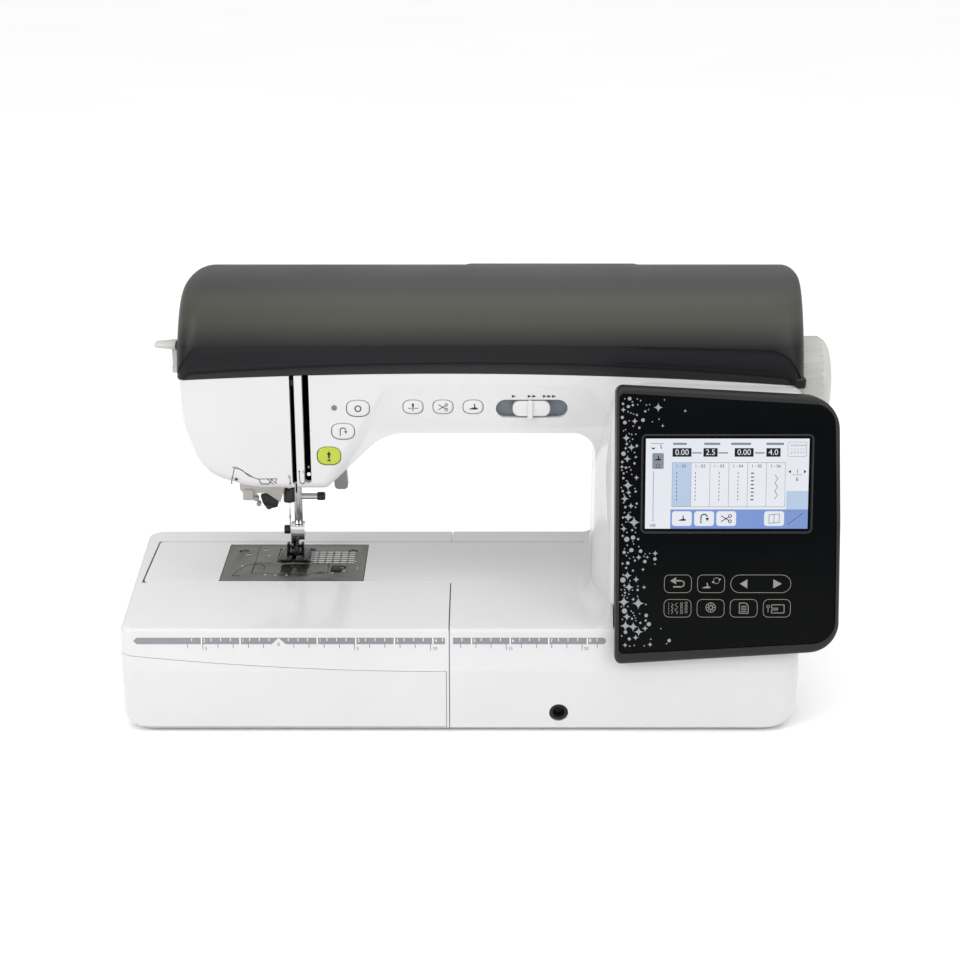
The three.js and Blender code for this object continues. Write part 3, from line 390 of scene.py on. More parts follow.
def boolean(mesh, **tools):
    """mesh after UNION, DIFFERENCE or INTERSECT, each a keyword with a list of meshes."""
    base = linked("base", mesh)
    others = []
    for operation, meshes in tools.items():
        for tool in meshes:
            others.append(linked("tool", tool))
            mod = base.modifiers.new("cut", "BOOLEAN")
            mod.operation = operation
            mod.solver = "EXACT"
            mod.object = others[-1]
    made = evaluated_mesh(base)
    for o in [base, *others]:
        bpy.data.objects.remove(o)
    shade(made)
    return made


def show(name, mesh, material, body="machine", stands_for=None, slot=None):
    obj = linked(name, mesh)
    mesh.materials.clear()
    mesh.materials.append(material)
    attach(obj, body)
    if stands_for:
        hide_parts(stands_for)
    return obj


# The two casings of the machine: the body and the CAD node their pieces stand for.
FRONT = ("machine", "front_cover")
REAR = ("machine", "rear_cover")


def bevel(obj, width, segments, angle):
    mod = obj.modifiers.new("bevel", "BEVEL")
    mod.width = width / 1000
    mod.segments = segments
    mod.limit_method = "ANGLE"
    mod.angle_limit = radians(angle)
    return mod


def soften(obj, width, segments=3):
    bevel(obj, width, segments, 32).harden_normals = True
    obj.modifiers.new("normals", "WEIGHTED_NORMAL").keep_sharp = True


def smooth_group():
    """A node group that shades smooth except across sharp edges, for the CAD nodes that stay."""
    group = bpy.data.node_groups.new("smooth_by_angle", "GeometryNodeTree")
    for way in ("INPUT", "OUTPUT"):
        group.interface.new_socket("Geometry", in_out=way, socket_type="NodeSocketGeometry")
    new = group.nodes.new
    over = new("FunctionNodeCompare")
    over.data_type = "FLOAT"
    over.operation = "GREATER_THAN"
    over.inputs[1].default_value = radians(32)
    group.links.new(new("GeometryNodeInputMeshEdgeAngle").outputs["Unsigned Angle"], over.inputs[0])
    faces = feed(new("GeometryNodeSetShadeSmooth"), Geometry=new("NodeGroupInput").outputs[0])
    edges = new("GeometryNodeSetShadeSmooth")
    edges.domain = "EDGE"
    feed(edges, Geometry=faces.outputs["Geometry"], Selection=over.outputs["Result"], Shade_Smooth=False)
    feed(new("NodeGroupOutput"), Geometry=edges.outputs["Geometry"])
    return group


SMOOTH = smooth_group()


def keep(node, material, edge):
    """A CAD node that stays, with softened edges and its own finish."""
    obj = NODES[node]
    obj.data.materials.clear()
    obj.data.materials.append(material)
    obj.modifiers.new("weld", "WELD").merge_threshold = 1e-5
    flat = obj.modifiers.new("flat", "DECIMATE")
    flat.decimate_type = "DISSOLVE"
    flat.angle_limit = radians(0.6)
    if edge:
        bevel(obj, edge, 2, 38)
    obj.modifiers.new("smooth", "NODES").node_group = SMOOTH


def pairs(corners, inset=0.0, arc=7):
    return [tuple(p) for p in soft_corners(corners, inset, arc)]


def dot(a, b, r, count):
    return [(a + r * cos(g), b + r * sin(g)) for g in full_turn(count)]


class Art:
    """Flat printed marks: polygons in millimetres on a surface given by place(a, b)."""

    def __init__(self, place):
        self.place = place
        self.verts = []
        self.faces = []

    def poly(self, points):
        start = len(self.verts)
        self.verts += [self.place(a, b) for a, b in points]
        self.faces.append(list(range(start, start + len(points))))

    def line(self, points, width):
        for (a, b), (c, d) in zip(points, points[1:]):
            length = hypot(c - a, d - b) or 1
            ex, ey = (c - a) / length, (d - b) / length
            nx, ny = -ey * width / 2, ex * width / 2
            a, b, c, d = a - ex * width / 4, b - ey * width / 4, c + ex * width / 4, d + ey * width / 4
            self.poly([(a + nx, b + ny), (a - nx, b - ny), (c - nx, d - ny), (c + nx, d + ny)])

    def disc(self, a, b, r, count=20):
        self.poly(dot(a, b, r, count))

    def band(self, outer, inner):
        n = len(outer)
        for i in range(n):
            j = (i + 1) % n
            self.poly([outer[i], outer[j], inner[j], inner[i]])

    def ring(self, a, b, r, width, count=28):
        self.band(dot(a, b, r + width / 2, count), dot(a, b, r - width / 2, count))

    def frame(self, a0, b0, a1, b1, r, width):
        corners = rect(a0, b0, a1, b1, r)
        self.band(pairs(corners, 0, 5), pairs(corners, width, 5))

    def tile(self, a0, b0, a1, b1, r=0.0):
        self.poly(pairs(rect(a0, b0, a1, b1, r), 0, 4))

    def star(self, a, b, r):
        """Four points joined by hollow curves."""
        hollow = lambda c: copysign(abs(c) ** 3.8, c)
        turns = [pi * k / 12 for k in range(24)]
        self.poly([(a + r * hollow(cos(g)), b + r * hollow(sin(g))) for g in turns])

    def digits(self, text, a, b, size):
        curve = bpy.data.curves.new("digits", "FONT")
        curve.body = text
        curve.size = size
        curve.align_x = curve.align_y = "CENTER"
        obj = linked("digits", curve)
        mesh = evaluated_mesh(obj)
        bpy.data.objects.remove(obj)
        start = len(self.verts)
        self.verts += [self.place(a + v.co.x, b + v.co.y) for v in mesh.vertices]
        self.faces += [[start + i for i in f.vertices] for f in mesh.polygons]
        bpy.data.meshes.remove(mesh)

    def build(self, name, material, body="machine"):
        mesh = bpy.data.meshes.new(name)
        mesh.from_pydata(self.verts, [], self.faces)
        mesh.materials.append(material)
        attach(linked(name, mesh), body)


def on_face(lift, y=60.0):
    return lambda a, b: at(a, y - lift, b)


def on_band(lift):
    """On the sloping face above the drop-down door, where the rule is printed."""
    return lambda a, b: at(a, -5 + (b - 45) / 28 * 5 - lift, b)


def on_plate(lift):
    return lambda a, b: at(a, b, 73.0 + lift)


def on_display(lift, y):
    return lambda a, b: on_panel(a, b, y - lift)


# ---------------------------------------------------------------- stage, light and camera
def stage():
    m, tree, bsdf = shader("floor_white")
    feed(bsdf, Base_Color=tint(tree, noise(tree, 2, 2), "#FCFCFC", "#FEFEFE"), Roughness=0.6)
    mesh = bpy.data.meshes.new("floor")
    mesh.from_pydata([(-30, -30, 0), (30, -30, 0), (30, 30, 0), (-30, 30, 0)], [], [(0, 1, 2, 3)])
    mesh.materials.append(m)
    linked("floor", mesh)


def area_light(name, spot, target, size, power):
    data = bpy.data.lights.new(name, "AREA")
    data.shape = "RECTANGLE"
    data.size, data.size_y = size
    data.energy = power
    obj = linked(name, data)
    obj.location = spot
    obj.rotation_mode = "QUATERNION"
    obj.rotation_quaternion = (Vector(target) - Vector(spot)).to_track_quat("-Z", "Y")


def lights():
    """A sky that brightens from the horizon up, and three large soft boxes."""
    world = bpy.data.worlds.new("studio")
    scene.world = world
    world.use_nodes = True
    tree = world.node_tree
    parts = add(tree, "SeparateXYZ", Vector=add(tree, "TexCoord").outputs["Generated"])
    span = dict(From_Min=0.05, From_Max=0.75, To_Min=0.42, To_Max=1.15)
    rise = add(tree, "MapRange", Value=parts.outputs["Z"], **span)
    rise.interpolation_type = "SMOOTHSTEP"
    feed(tree.nodes["Background"], Color=(1, 1, 1, 1), Strength=rise.outputs["Result"])
    scene.view_settings.view_transform = "Standard"
    area_light("overhead", (0, -0.5, 1.7), (0, 0, 0.1), (1.6, 0.8), 6)
    area_light("left_box", (-1.5, -1.2, 1.1), (0, 0, 0.15), (0.9, 1.0), 13)
    area_light("right_box", (1.5, -1.3, 1.0), (0, 0, 0.15), (0.8, 1.0), 9)


def camera():
    data = bpy.data.cameras.new("camera")
    data.lens = LENS
    data.sensor_width = 36
    obj = linked("camera", data)
    obj.location = (0.003, -1.2106, 0.5783)
    obj.rotation_euler = (radians(70), 0, 0)
    scene.camera = obj


stage()
lights()
camera()

# ---------------------------------------------------------------- arm, head and column
HEAD_LEFT, HEAD_FLOOR = -196.6, 148
THROAT = 79.5  # X of the column's side that faces the needle
COLUMN_LEFT, COLUMN_RIGHT = 88, 215
ARM_FRONT, ARM_BACK = 60, 176
RAISE = 9  # how far the casing rises behind the lid's lower edge, before it is hollowed
WALL = 2.5
FEED_LEVER = 14  # X of the drop-feed knob
# A body with the CAD node that its pieces stand for.
HOOK = ("threader", "needle_threader")
GRIP = ("threader_knob", "threader_lever")
CLAMP = ("clamp_screw", "needle_clamp_screw")
HANDLE = ("handle", "carry_handle")
WHEEL = ("drive", "handwheel")
TOP = ("top_lid", "lid")
SPEED = ("slider", "speed_slider")
FLAT_BED = ("bed_attachment", "flatbed_attachment")
# Each button's X, Z, width and height, and the Y of the arm's face there.
BUTTONS = {
    "reinforcement_button": (-77.8, 205.9, 15.5, 11.5, 60),
    "reverse_button": (-88.1, 189.9, 15.5, 11.5, 60),
    "start_stop_button": (-97.9, 172.6, 16, 13, 60),
    "needle_position_button": (-41.4, 206.6, 13.5, 10, 61.2),
    "thread_cutter_button": (-21.5, 206.6, 13.5, 10, 61.2),
    "presser_lift_button": (-1.6, 206.6, 13.5, 10, 61.2),
}


def blend(t):
    return t * t * (3 - 2 * t)


def oval(x, z, w, h, power=2.7, count=56):
    """A squared-off ellipse."""
    soft = lambda c: copysign(abs(c) ** (2 / power), c)
    return [[x + w / 2 * soft(cos(g)), z + h / 2 * soft(sin(g)), 0] for g in full_turn(count)]


def body_corners(raised=0.0):
    right = COLUMN_RIGHT - 0.15
    xs = [HEAD_LEFT + (right - HEAD_LEFT) * k / 30 for k in range(31)]
    return [
        *[[x, cover_top(x) + raised, 0] for x in xs],
        [right, BED_TOP, 0],
        [THROAT, BED_TOP, 0],
        [THROAT, UNDER, 14],
        [-61, UNDER, 34],
        [-100, HEAD_FLOOR, 4],
        [-150, HEAD_FLOOR, 60],
        [-183.5, 159, 30],
        [-195.5, 195, 60],
    ]


def above(y0, y1):
    line = [[-215 + 450 * k / 36, cover_top(-215 + 450 * k / 36), 0] for k in range(37)]
    return prism([*line, [235, 300, 0], [-215, 300, 0]], y0, y1, "y")


def leaning(mesh):
    """Tapers the column's inner side, so it stands further right towards the back."""
    for vertex in mesh.vertices:
        x, y, z = vertex.co.x * 1000, vertex.co.y * 1000 + DEPTH, vertex.co.z * 1000
        if 50 < x < 100 and z < UNDER + 4:
            vertex.co.x += 0.06e-3 * (y - ARM_FRONT) * min(1.0, (x - 50) / 29)
    return mesh


def arm_recess():
    """A wedge sunk into the arm's face, deepest along its lower edge."""
    face = [[-113, 60, 0], [-113, 140, 0], [-58, 225, 16], [74, 222.5, 24], [96, 196, 8], [96, 60, 0]]
    floor = [[-97, 60, 0], [-97, 140, 0], [-51, 219, 16], [70.5, 217, 20], [90.5, 194, 8], [90.5, 60, 0]]
    first = soft_corners(face, 0, 12)
    last = soft_corners(floor, 0, 12)
    rings = [[at(p.x, 55, p.y) for p in first]]
    for t in [k / 8 for k in range(9)]:
        y = ARM_FRONT - 0.02 + 3.4 * blend(t)
        rings.append([at(p.x + (q.x - p.x) * t, y, p.y + (q.y - p.y) * t) for p, q in zip(first, last)])
    wedge = prism([[54, 240, 0], [60, 222, 0], [63.2, 189, 6], [63.2, 50, 0], [54, 50, 0]], -130, 110, "x")
    return boolean(loft(rings), INTERSECT=[wedge])


def wheel_hole():
    return prism(ellipse(*SHAFT, 12, 12), 205, 225, "x")


def head_and_arm():
    outer = leaning(prism(body_corners(RAISE), ARM_FRONT, SPLIT - 0.15, "y", 7, 0.5, arc=14, steps=8))
    inner = leaning(prism(body_corners(), ARM_FRONT + 6, SPLIT + 2, "y", arc=8, grow=-WALL))
    tools = [inner, above(50, 130), arm_recess()]
    tools += [prism(oval(x, z, w + 0.4, h + 0.4), 50, 75, "y") for x, z, w, h, _ in BUTTONS.values()]
    tools += [
        prism(rect(-123, 140, -119.8, 250, 0.2), 50, 74, "y"),  # left thread slot
        prism(rect(-114.7, 153.2, -110.1, 250, 2), 50, 74, "y"),  # right thread slot
        prism(rect(13.5, 198.9, 61.1, 211.7, 6.3), 50, 75, "y"),  # speed slider
        prism(ellipse(-93.6, 206.3, 1.95, 1.6, 32), 50, 75, "y"),  # status lamp
        prism(rect(80.5, 195.4, 89.5, 250, 3), -200, -185, "x"),  # threader stem
        wheel_hole(),
        block(-189, 66, 218, 209, 130, 240),  # open top, under the lid
        block(-163, 68, 149, -102, 130, 159),  # open floor, above the needle
        block(92, 50, 76, 212, 130, 200),  # behind the display
    ]
    show("head_and_arm_front", boolean(outer, DIFFERENCE=tools), WHITE, *FRONT)
    show("thread_channel", prism(rect(-126, 149.5, -107, 226, 1), 73.5, 75, "y"), PIT, *FRONT)
    show("slider_channel", prism(rect(12, 197, 63, 213.5, 6.0), 66.4, 68, "y"), SLATE, *FRONT)


def bulge_front(z):
    return 4.6 + (z - 54) * tan(TILT)


AXES["b"] = lambda a, b, s: at(a, bulge_front(b) + s, b)
# (Y, Z, radius) round the bed's side view
BED_PROFILE = [
    [-4, SKIRT, 1.5],
    [-5, 45, 6],
    [0, BED_TOP, 3],
    [BED_BACK, BED_TOP, 0],
    [BED_BACK, SKIRT, 0],
]


def bed_line():
    """(Y, Z) points up the front of the bed, from the foot to the flat top."""
    return pairs(BED_PROFILE, 0, 6)[1:21]


def bed_front(z):
    line = bed_line()
    for (y0, z0), (y1, z1) in zip(line, line[1:]):
        if z0 <= z <= z1:
            return y0 + (y1 - y0) * (z - z0) / ((z1 - z0) or 1)
    return line[0][0] if z < line[0][1] else line[-1][0]


def foot_round(z, radius=12.0):
    """How far the bed's sides are drawn in at height z, near the table."""
    rise = radius + SKIRT - z
    return 0.0 if rise <= 0 else radius * (1 - sqrt(max(0.0, 1 - (rise / radius) ** 2)))


def top_round(z):
    """How far they are drawn in near the bed's top edge."""
    return 3 * (1 - sqrt(max(0.0, 1 - ((z - 70) / 3) ** 2))) if z > 70 else 0


def stations():
    """(Y, Z) points up the bed's front, close together where the foot curves in."""
    extra = [SKIRT + 12 * (1 - cos(k / 8 * pi / 2)) for k in range(1, 9)]
    levels = sorted({round(z, 3) for _, z in bed_line()} | {round(z, 3) for z in extra})
    return [(bed_front(z), z) for z in levels]


def base_block():
    rings = []
    for y, z in stations():
        right = COLUMN_RIGHT - foot_round(z) - top_round(z) * 0.3
        plan = [[-17, y, 0.6], [right, y, 14], [right, SPLIT - 0.15, 0.5]]
        plan += [[88.2, SPLIT - 0.15, 0], [88.2, 78, 0], [-17, 78, 0.5]]
        rings.append([at(p.x, p.y, z) for p in soft_corners(plan, 0, 10)])
    tools = [
        block(91, 14, 5, 212, 130, 80),
        block(-14, 14, 5, 91.5, 75.5, 70.2),
        prism(ellipse(55.3, 14.3, 6.3, 6.3, 40), -12, 8, "y"),  # knee lifter socket
    ]
    show("base_front", boolean(loft(rings), DIFFERENCE=tools), WHITE, *FRONT)
    side = COLUMN_RIGHT - 0.3
    bulge = [[89, 70, 0], [89, 226.4, 24], [side, 220.9, 5], [side, 70, 0]]
    show("column_front", prism(bulge, 0, 52, "b", 6, 0, arc=12, steps=8), WHITE, *FRONT)


def column_edge(y, fade=1.0):
    """X of the column's inner side, which swings in behind the display and then leans to the right."""
    swing = min(1.0, max(0.0, (y - 16) / 51))
    return 88.9 - (88.9 - THROAT) * blend(swing) * fade + 0.06 * max(0.0, y - ARM_FRONT)


def column_web():
    """The smooth turn from the bulge under the display to the side of the column."""
    rings = []
    for k in range(30):
        z = 72 + (208 - 72) * k / 29
        fade = 1 - blend(max(0.0, (z - 160) / 48))
        start = bulge_front(z) + 8
        ys = [start + (68 - start) * i / 20 for i in range(21)]
        rings.append([at(94, start, z), *[at(column_edge(y, fade), y, z) for y in ys], at(94, 68, z)])
    show("column_web", loft(rings), WHITE, *FRONT)


def column_foot():
    """The hollow curve where the column grows out of the bed."""
    rings = []
    quarter = [pi / 2 * i / 12 for i in range(13)]
    for t in [k / 48 for k in range(49)]:
        r = 12.5 - 7 * blend(t)
        y = 1.2 + 174 * t
        edge = column_edge(y)
        curve = [(edge - r + r * sin(g), 73.02 + r - r * cos(g)) for g in quarter]
        outline = [(edge + 1.5, 72.5), (edge - r, 72.5), *curve, (edge + 1.5, BED_TOP + r)]
        rings.append([at(a, y + max(0.0, b - BED_TOP) * 0.55 * (1 - t), b) for a, b in outline])
    show("column_foot", loft(rings), WHITE, *FRONT)


head_and_arm()
base_block()
column_web()
column_foot()


# ---------------------------------------------------------------- rear
def rear_shell():
    back = leaning(prism(body_corners(RAISE), SPLIT + 0.15, ARM_BACK, "y", 0.5, 9, arc=14, steps=8))
    inner = leaning(prism(body_corners(), SPLIT - 1, ARM_BACK - WALL, "y", arc=8, grow=-WALL))
    tools = [
        inner,
        above(110, 190),
        block(-189, 110, 218, 209, 150.6, 240),  # open top, under the lid
        block(-180, 150, 215, 200, 173, 240),  # under the spine
        block(-163, 110, 149, -102, 160, 159),  # open floor, above the needle
        block(-126, 162, 148, -82, 174.2, 174),  # presser lever
        block(92, 110, 60, 212, 190, 212),  # column
        wheel_hole(),
    ]
    show("arm_rear", boolean(back, DIFFERENCE=tools), WHITE, *REAR)
    outline = [[-190, 205, 0], [-190, 267, 20], [209, 267, 14], [209, 205, 0]]
    spine = prism(outline, 151.6, ARM_BACK - 0.1, "y", 2, 8, arc=12)
    recess = prism(rect(-18, 243, 125, 290, 5), 140, 190, "y")
    hollow = block(-180, 154, 200, 200, 173, 250)
    pivot = prism(ellipse(165, 250, 3.4, 3.4, 20), -22, 129, "x")
    show("rear_spine", boolean(spine, DIFFERENCE=[recess, hollow, pivot]), WHITE, *REAR)
    profile = [[100, SKIRT, 0], [232, SKIRT, 6], [232, ARM_BACK, 24], [170, 220, 12], [100, 220, 0]]
    hump = prism(profile, COLUMN_LEFT + 0.1, COLUMN_RIGHT - 0.05, "x", 8, 10, arc=10, steps=8)
    vents = [prism(rect(120, 70 + 9 * i, 180, 74 + 9 * i, 1.8), 225, 240, "y") for i in range(5)]
    tools = [
        block(60, 90, 0, 240, SPLIT + 0.15, 230),  # all that is in front of the split
        prism([[*p, 0] for p in pairs(profile, 2.6, 6)], 91, 211.5, "x"),  # hollow
        prism(rect(182, 50, 194, 70, 1), 208, 220, "x"),  # power switch
        prism(rect(176, 19.5, 200, 36.5, 2), 208, 220, "x"),  # mains inlet
        *vents,
    ]
    show("motor_housing", boolean(hump, DIFFERENCE=tools), WHITE, *REAR)
    show("vent_mesh", prism(rect(116, 66, 184, 116, 1), 227, 228.2, "y"), TRIM, *REAR)
    outline = [[154.6, SKIRT, 0], [BED_BACK, SKIRT, 5], [BED_BACK, BED_TOP, 3], [154.6, BED_TOP, 0]]
    strip = prism(outline, -17, 92, "x", 0.5, 0, arc=8)
    slot = prism(rect(FEED_LEVER - 4, 36, FEED_LEVER + 18, 41, 1), 168, 180, "y")
    show("bed_rear", boolean(strip, DIFFERENCE=[slot, block(-14, 150, 5, 91, 174, 70.5)]), WHITE, *REAR)


rear_shell()


# ---------------------------------------------------------------- flat-bed attachment and its door
def attachment_solid(inset):
    rings = []
    for y, z in stations():
        if not SKIRT + inset <= z <= BED_TOP - inset:
            continue
        foot = foot_round(z + 0.6 if inset else z)
        top = top_round(z)
        right, back = -17.4 - top * 0.2, BED_BACK - top
        plan = [[-234.2 + foot + top, y, 9], [-243.2 + foot + top, back, 11]]
        plan += [[right, back, 2], [right, y, 0.6]]
        rings.append([at(p.x, p.y, z) for p in soft_corners(plan, inset, 10)])
    return loft(rings)


def door_outline(inset):
    xs = [-19 - inset - (217 - 2 * inset) * k / 20 for k in range(21)]
    top = [[x, door_top(x) - inset, 0] for x in xs]
    return [[-19 - inset, 3.6 + inset, 0], *top, [-236 + inset, 3.6 + inset, 0]]


def attachment():
    tools = [
        block(-232.5, 78, -1, 0, 154.6, 90),  # free arm
        block(-226, 1, 5.5, -21, 75.4, 70),  # accessory compartment
        prism(door_outline(0), -20, 3, "y"),
        block(-222, 157.2, 12, -22, 174, 70),  # hollow behind the free arm
        block(-210, 159.2, -1, -46, 172, 14),
    ]
    obj = show("flat_bed", boolean(attachment_solid(0), DIFFERENCE=tools), WHITE, *FLAT_BED)
    soften(obj, 0.35, 2)
    panel = prism(door_outline(0.35), -20, 2, "y")
    shell = boolean(attachment_solid(0), DIFFERENCE=[attachment_solid(2.4)], INTERSECT=[panel])
    obj = show("drop_door", shell, WHITE, "front_door", "accessory_door")
    soften(obj, 0.4, 3)
    for i, (x, y) in enumerate([(-222, 12), (-34, 12), (-222, 166), (-34, 166)]):
        pad = turned([(0.01, 3), (5, 3), (5, 0.7), (4.5, 0.2), (0.01, 0.2)], (x, y))
        show(f"attachment_pad_{i + 1}", pad, RUBBER, *FLAT_BED)


attachment()


# ---------------------------------------------------------------- lid
LID = {"left": -197.2, "right": 217.0, "front": 58.0, "back": 149.0, "crown": 289.3, "wall": 1.8}


def corner_fall(d, r):
    """How far a corner of radius r has fallen away at a distance d from the end."""
    return r * (1 - sqrt(max(0.0, 1 - (1 - d / r) ** 2))) if d < r else 0.0


def end_drop(x, reach_left, reach_right):
    """The fall of the lid's two rounded ends at x."""
    return max(corner_fall(x - LID["left"], reach_left), corner_fall(LID["right"] - x, reach_right))


def lid_stations():
    xs = [LID["left"] + 24 * (1 - cos(k / 20 * pi / 2)) for k in range(21)]
    xs += [LID["left"] + 24 + (LID["right"] - 12 - LID["left"] - 24) * k / 40 for k in range(1, 40)]
    xs += [LID["right"] - 12 + 12 * sin(k / 14 * pi / 2) for k in range(15)]
    return xs


def curl(x):
    """How far the crease above the front edge has turned down at the rounded ends."""
    drop = 0.0
    if x < -181:
        drop = 0.075 * (-181 - x) ** 2
    if x > 196:
        drop = 0.055 * (x - 196) ** 2
    return drop


def lid_profile(x):
    """Points over the lid at station x, from the front lower edge up over the crown and down the back."""
    top, front, rear = LID["crown"], LID["front"], LID["back"]
    ends = min(x - (LID["left"] + 5.5), (LID["right"] - 8) - x)
    low = lid_low(x) if ends > 0 else cover_top(x) + 0.6
    if 0 < ends < 3:
        low += (cover_top(x) + 0.6 - low) * corner_fall(ends, 3) / 3
    crease = max(low + 1.2, 250.8 - 8e-5 * (x + 30) ** 2 - curl(x))
    step = max(0.0, min(1.0, (crease - low) / 8))
    line = [(front + 0.3 + 1.1 * step * k / 4, low + (crease - 1.6 * step - low) * k / 4) for k in range(5)]
    line += [(front + 0.3 + 0.8 * step, crease - 0.9 * step), (front + 0.1, crease - 0.5 * step)]
    corners = (front, crease), (63.5, crease + 22), (80, top), (105, top)
    for t in [k / 28 for k in range(29)]:
        weights = [(1 - t) ** 3, 3 * t * (1 - t) ** 2, 3 * t * t * (1 - t), t**3]
        line.append(tuple(sum(w * p[i] for w, p in zip(weights, corners)) for i in (0, 1)))
    for t in [k / 12 for k in range(1, 13)]:
        a, b, c = (1 - t) ** 2, 2 * t * (1 - t), t * t
        line.append((105 * a + 130 * b + rear * c, top * a + top * b + (top - 9) * c))
    line += [(rear, 275), (rear, 268), (rear, 262)]
    top_fall = end_drop(x, 20, 9)
    front_fall = end_drop(x, 8, 7)
    points = []
    for y, z in line:
        lift = max(0.0, min(1.0, (z - 236) / 53))
        inward = max(0.0, (rear - y) / 91)
        points.append((y + front_fall * inward - 0.25 * top_fall * (1 - inward), z - top_fall * lift))
    return points


def lid():
    xs = lid_stations()
    bm = bmesh.new()
    rows = [[bm.verts.new(at(x, y, z)) for y, z in lid_profile(x)] for x in xs]
    for low, high in zip(rows, rows[1:]):
        for i in range(len(low) - 1):
            bm.faces.new((low[i], low[i + 1], high[i + 1], high[i]))
    for row, x in ((rows[0], xs[0]), (rows[-1], xs[-1])):
        corner = bm.verts.new(at(x, LID["back"] - 6, cover_top(x) + 0.6))
        bm.faces.new([*row, corner])
    mesh = tidy(bm, 28)
    # The lid's material carries its painted shade and painted highlight.
    obj = show("lid_shell", mesh, LID_GREY_PAINTED_LIGHT, *TOP)
    thick = obj.modifiers.new("wall", "SOLIDIFY")
    thick.thickness = LID["wall"] / 1000
    thick.offset = -1
    thick.use_even_offset = True
    for i, x in enumerate((-150, 160)):
        outline = [[143, 268, 0], [152.6, 268, 3], [152.6, 279.4, 3], [143, 279.4, 0]]
        ear = prism(outline, x, x + 12, "x", 1, 1)
        show(f"lid_hinge_{i + 1}", ear, TRIM, *TOP)
    catch = prism(rect(57.6, 219.7, 66, 227.2, 2), 210.5, 217.9, "x", 1.5, 2)
    show("lid_catch", catch, TRIM, *TOP)


lid()


# ---------------------------------------------------------------- display
RIM_CORNERS = [[91.2, 0, 4], [237, 8.8, 20], [236.2, 95, 120], [233.6, 174.8, 22], [90.4, 182.4, 5]]
FACE_CORNERS = [[93.7, 7.5, 3], [234, 15, 15], [233, 95, 120], [230.2, 169.7, 13], [92.4, 177.6, 3]]
LCD = (109.6, 90, 214.6, 148.6)


def display():
    tools = [
        prism(FACE_CORNERS, -1, 2.6, "p", arc=14, grow=0.3),
        prism(rect(80, -20, 250, 23.6), 9, 20, "p"),
    ]
    housing = boolean(prism(RIM_CORNERS, 0, 17.4, "p", 3.0, 1.5, arc=14, steps=8), DIFFERENCE=tools)
    show("display_housing", housing, RIM, stands_for="panel_housing")
    x0, v0, x1, v1 = LCD
    around = lambda grow, r: rect(x0 - grow, v0 - grow, x1 + grow, v1 + grow, r)
    hole = prism(around(2.8, 3), -1, 4, "p")
    face = boolean(prism(FACE_CORNERS, 0.15, 2.5, "p", 0.5, 0, arc=14, steps=4), DIFFERENCE=[hole])
    show("display_face", face, GLOSS, stands_for="panel_face")
    section = [(0.4, 0), (-0.15, 0.1), (-0.45, 0.5), (-0.45, 1.1)]
    section += [(0.2, 1.4), (1.0, 1.5), (2.2, 1.5), (2.2, 0)]
    bezel = sweep(around(3.1, 3.6), section, "p", 6, wrap=True)
    show("display_bezel", bezel, BEZEL, stands_for="panel_face")
    glass = prism(around(2.2, 1), 1.05, 2.4, "p", 0.2, 0)
    show("display_glass", glass, GLOSS, stands_for="lcd_screen", slot="screen")


display()
# ---------------------------------------------------------------- controls on the arm
def arc_points(a, b, r, start, end, count=14):
    turns = [radians(start + (end - start) * k / count) for k in range(count + 1)]
    return [(a + r * cos(g), b + r * sin(g)) for g in turns]


def placed(points, x, z, s):
    return [(x + a * s, z + b * s) for a, b in points]


def foot_icon(art, x, z, s):
    sole = [(-1.0, -0.55), (0.55, -0.62), (0.62, -0.1), (0.45, 0.85), (0.15, 0.95), (0.3, 0.0), (-0.9, -0.4)]
    art.poly(placed(sole, x, z, s))
    art.poly(placed([(0.55, -0.62), (1.25, -0.5), (1.05, -0.15), (0.62, -0.1)], x, z, s))


def turn_icon(art, x, z, s):
    art.line(placed([(-0.85, -1.2), (-0.85, -0.55)], x, z, s), 0.3 * s)
    stem = placed([(-0.85, -0.3), (-0.85, 0.2)], x, z, s)
    art.line([*stem, *arc_points(x, z + 0.35 * s, 0.85 * s, 170, 10)], 0.3 * s)
    art.poly(placed([(0.35, 0.2), (1.35, 0.2), (0.85, -0.7)], x, z, s))


def scissors_icon(art, x, z, s):
    for way in (1, -1):
        art.line(placed([(-1.4, 0.8 * way), (0.75, -0.5 * way)], x, z, s), 0.24 * s)
    for way in (1, -1):
        art.ring(x + 1.05 * s, z + 0.75 * way * s, 0.4 * s, 0.22 * s)


def needle_icon(art, x, z, s):
    art.line(placed([(-1.6, -0.35), (-0.45, -0.35)], x, z, s), 0.22 * s)
    art.line(placed([(0.45, -0.35), (1.6, -0.35)], x, z, s), 0.22 * s)
    art.line(placed([(0, 0.1), (0, -1.1)], x, z, s), 0.34 * s)
    art.line(placed([(0, 1.1), (0, 0.35)], x, z, s), 0.6 * s)


def reinforce_icon(art, x, z, s):
    art.ring(x, z, 1.2 * s, 0.5 * s)


def start_icon(art, x, z, s):
    art.poly(placed([(-0.7, 0.45), (0.7, 0.45), (0, 1.55)], x, z, s))
    art.line(placed([(0, 0.5), (0, -0.55)], x, z, s), 0.55 * s)
    art.line(placed([(-0.35, -1.25), (0.35, -1.25)], x, z, s), 0.5 * s)


ICONS = {
    "reinforcement_button": (reinforce_icon, 1.6),
    "reverse_button": (turn_icon, 2.2),
    "start_stop_button": (start_icon, 2.3),
    "needle_position_button": (needle_icon, 2.1),
    "thread_cutter_button": (scissors_icon, 2.1),
    "presser_lift_button": (foot_icon, 2.7),
}


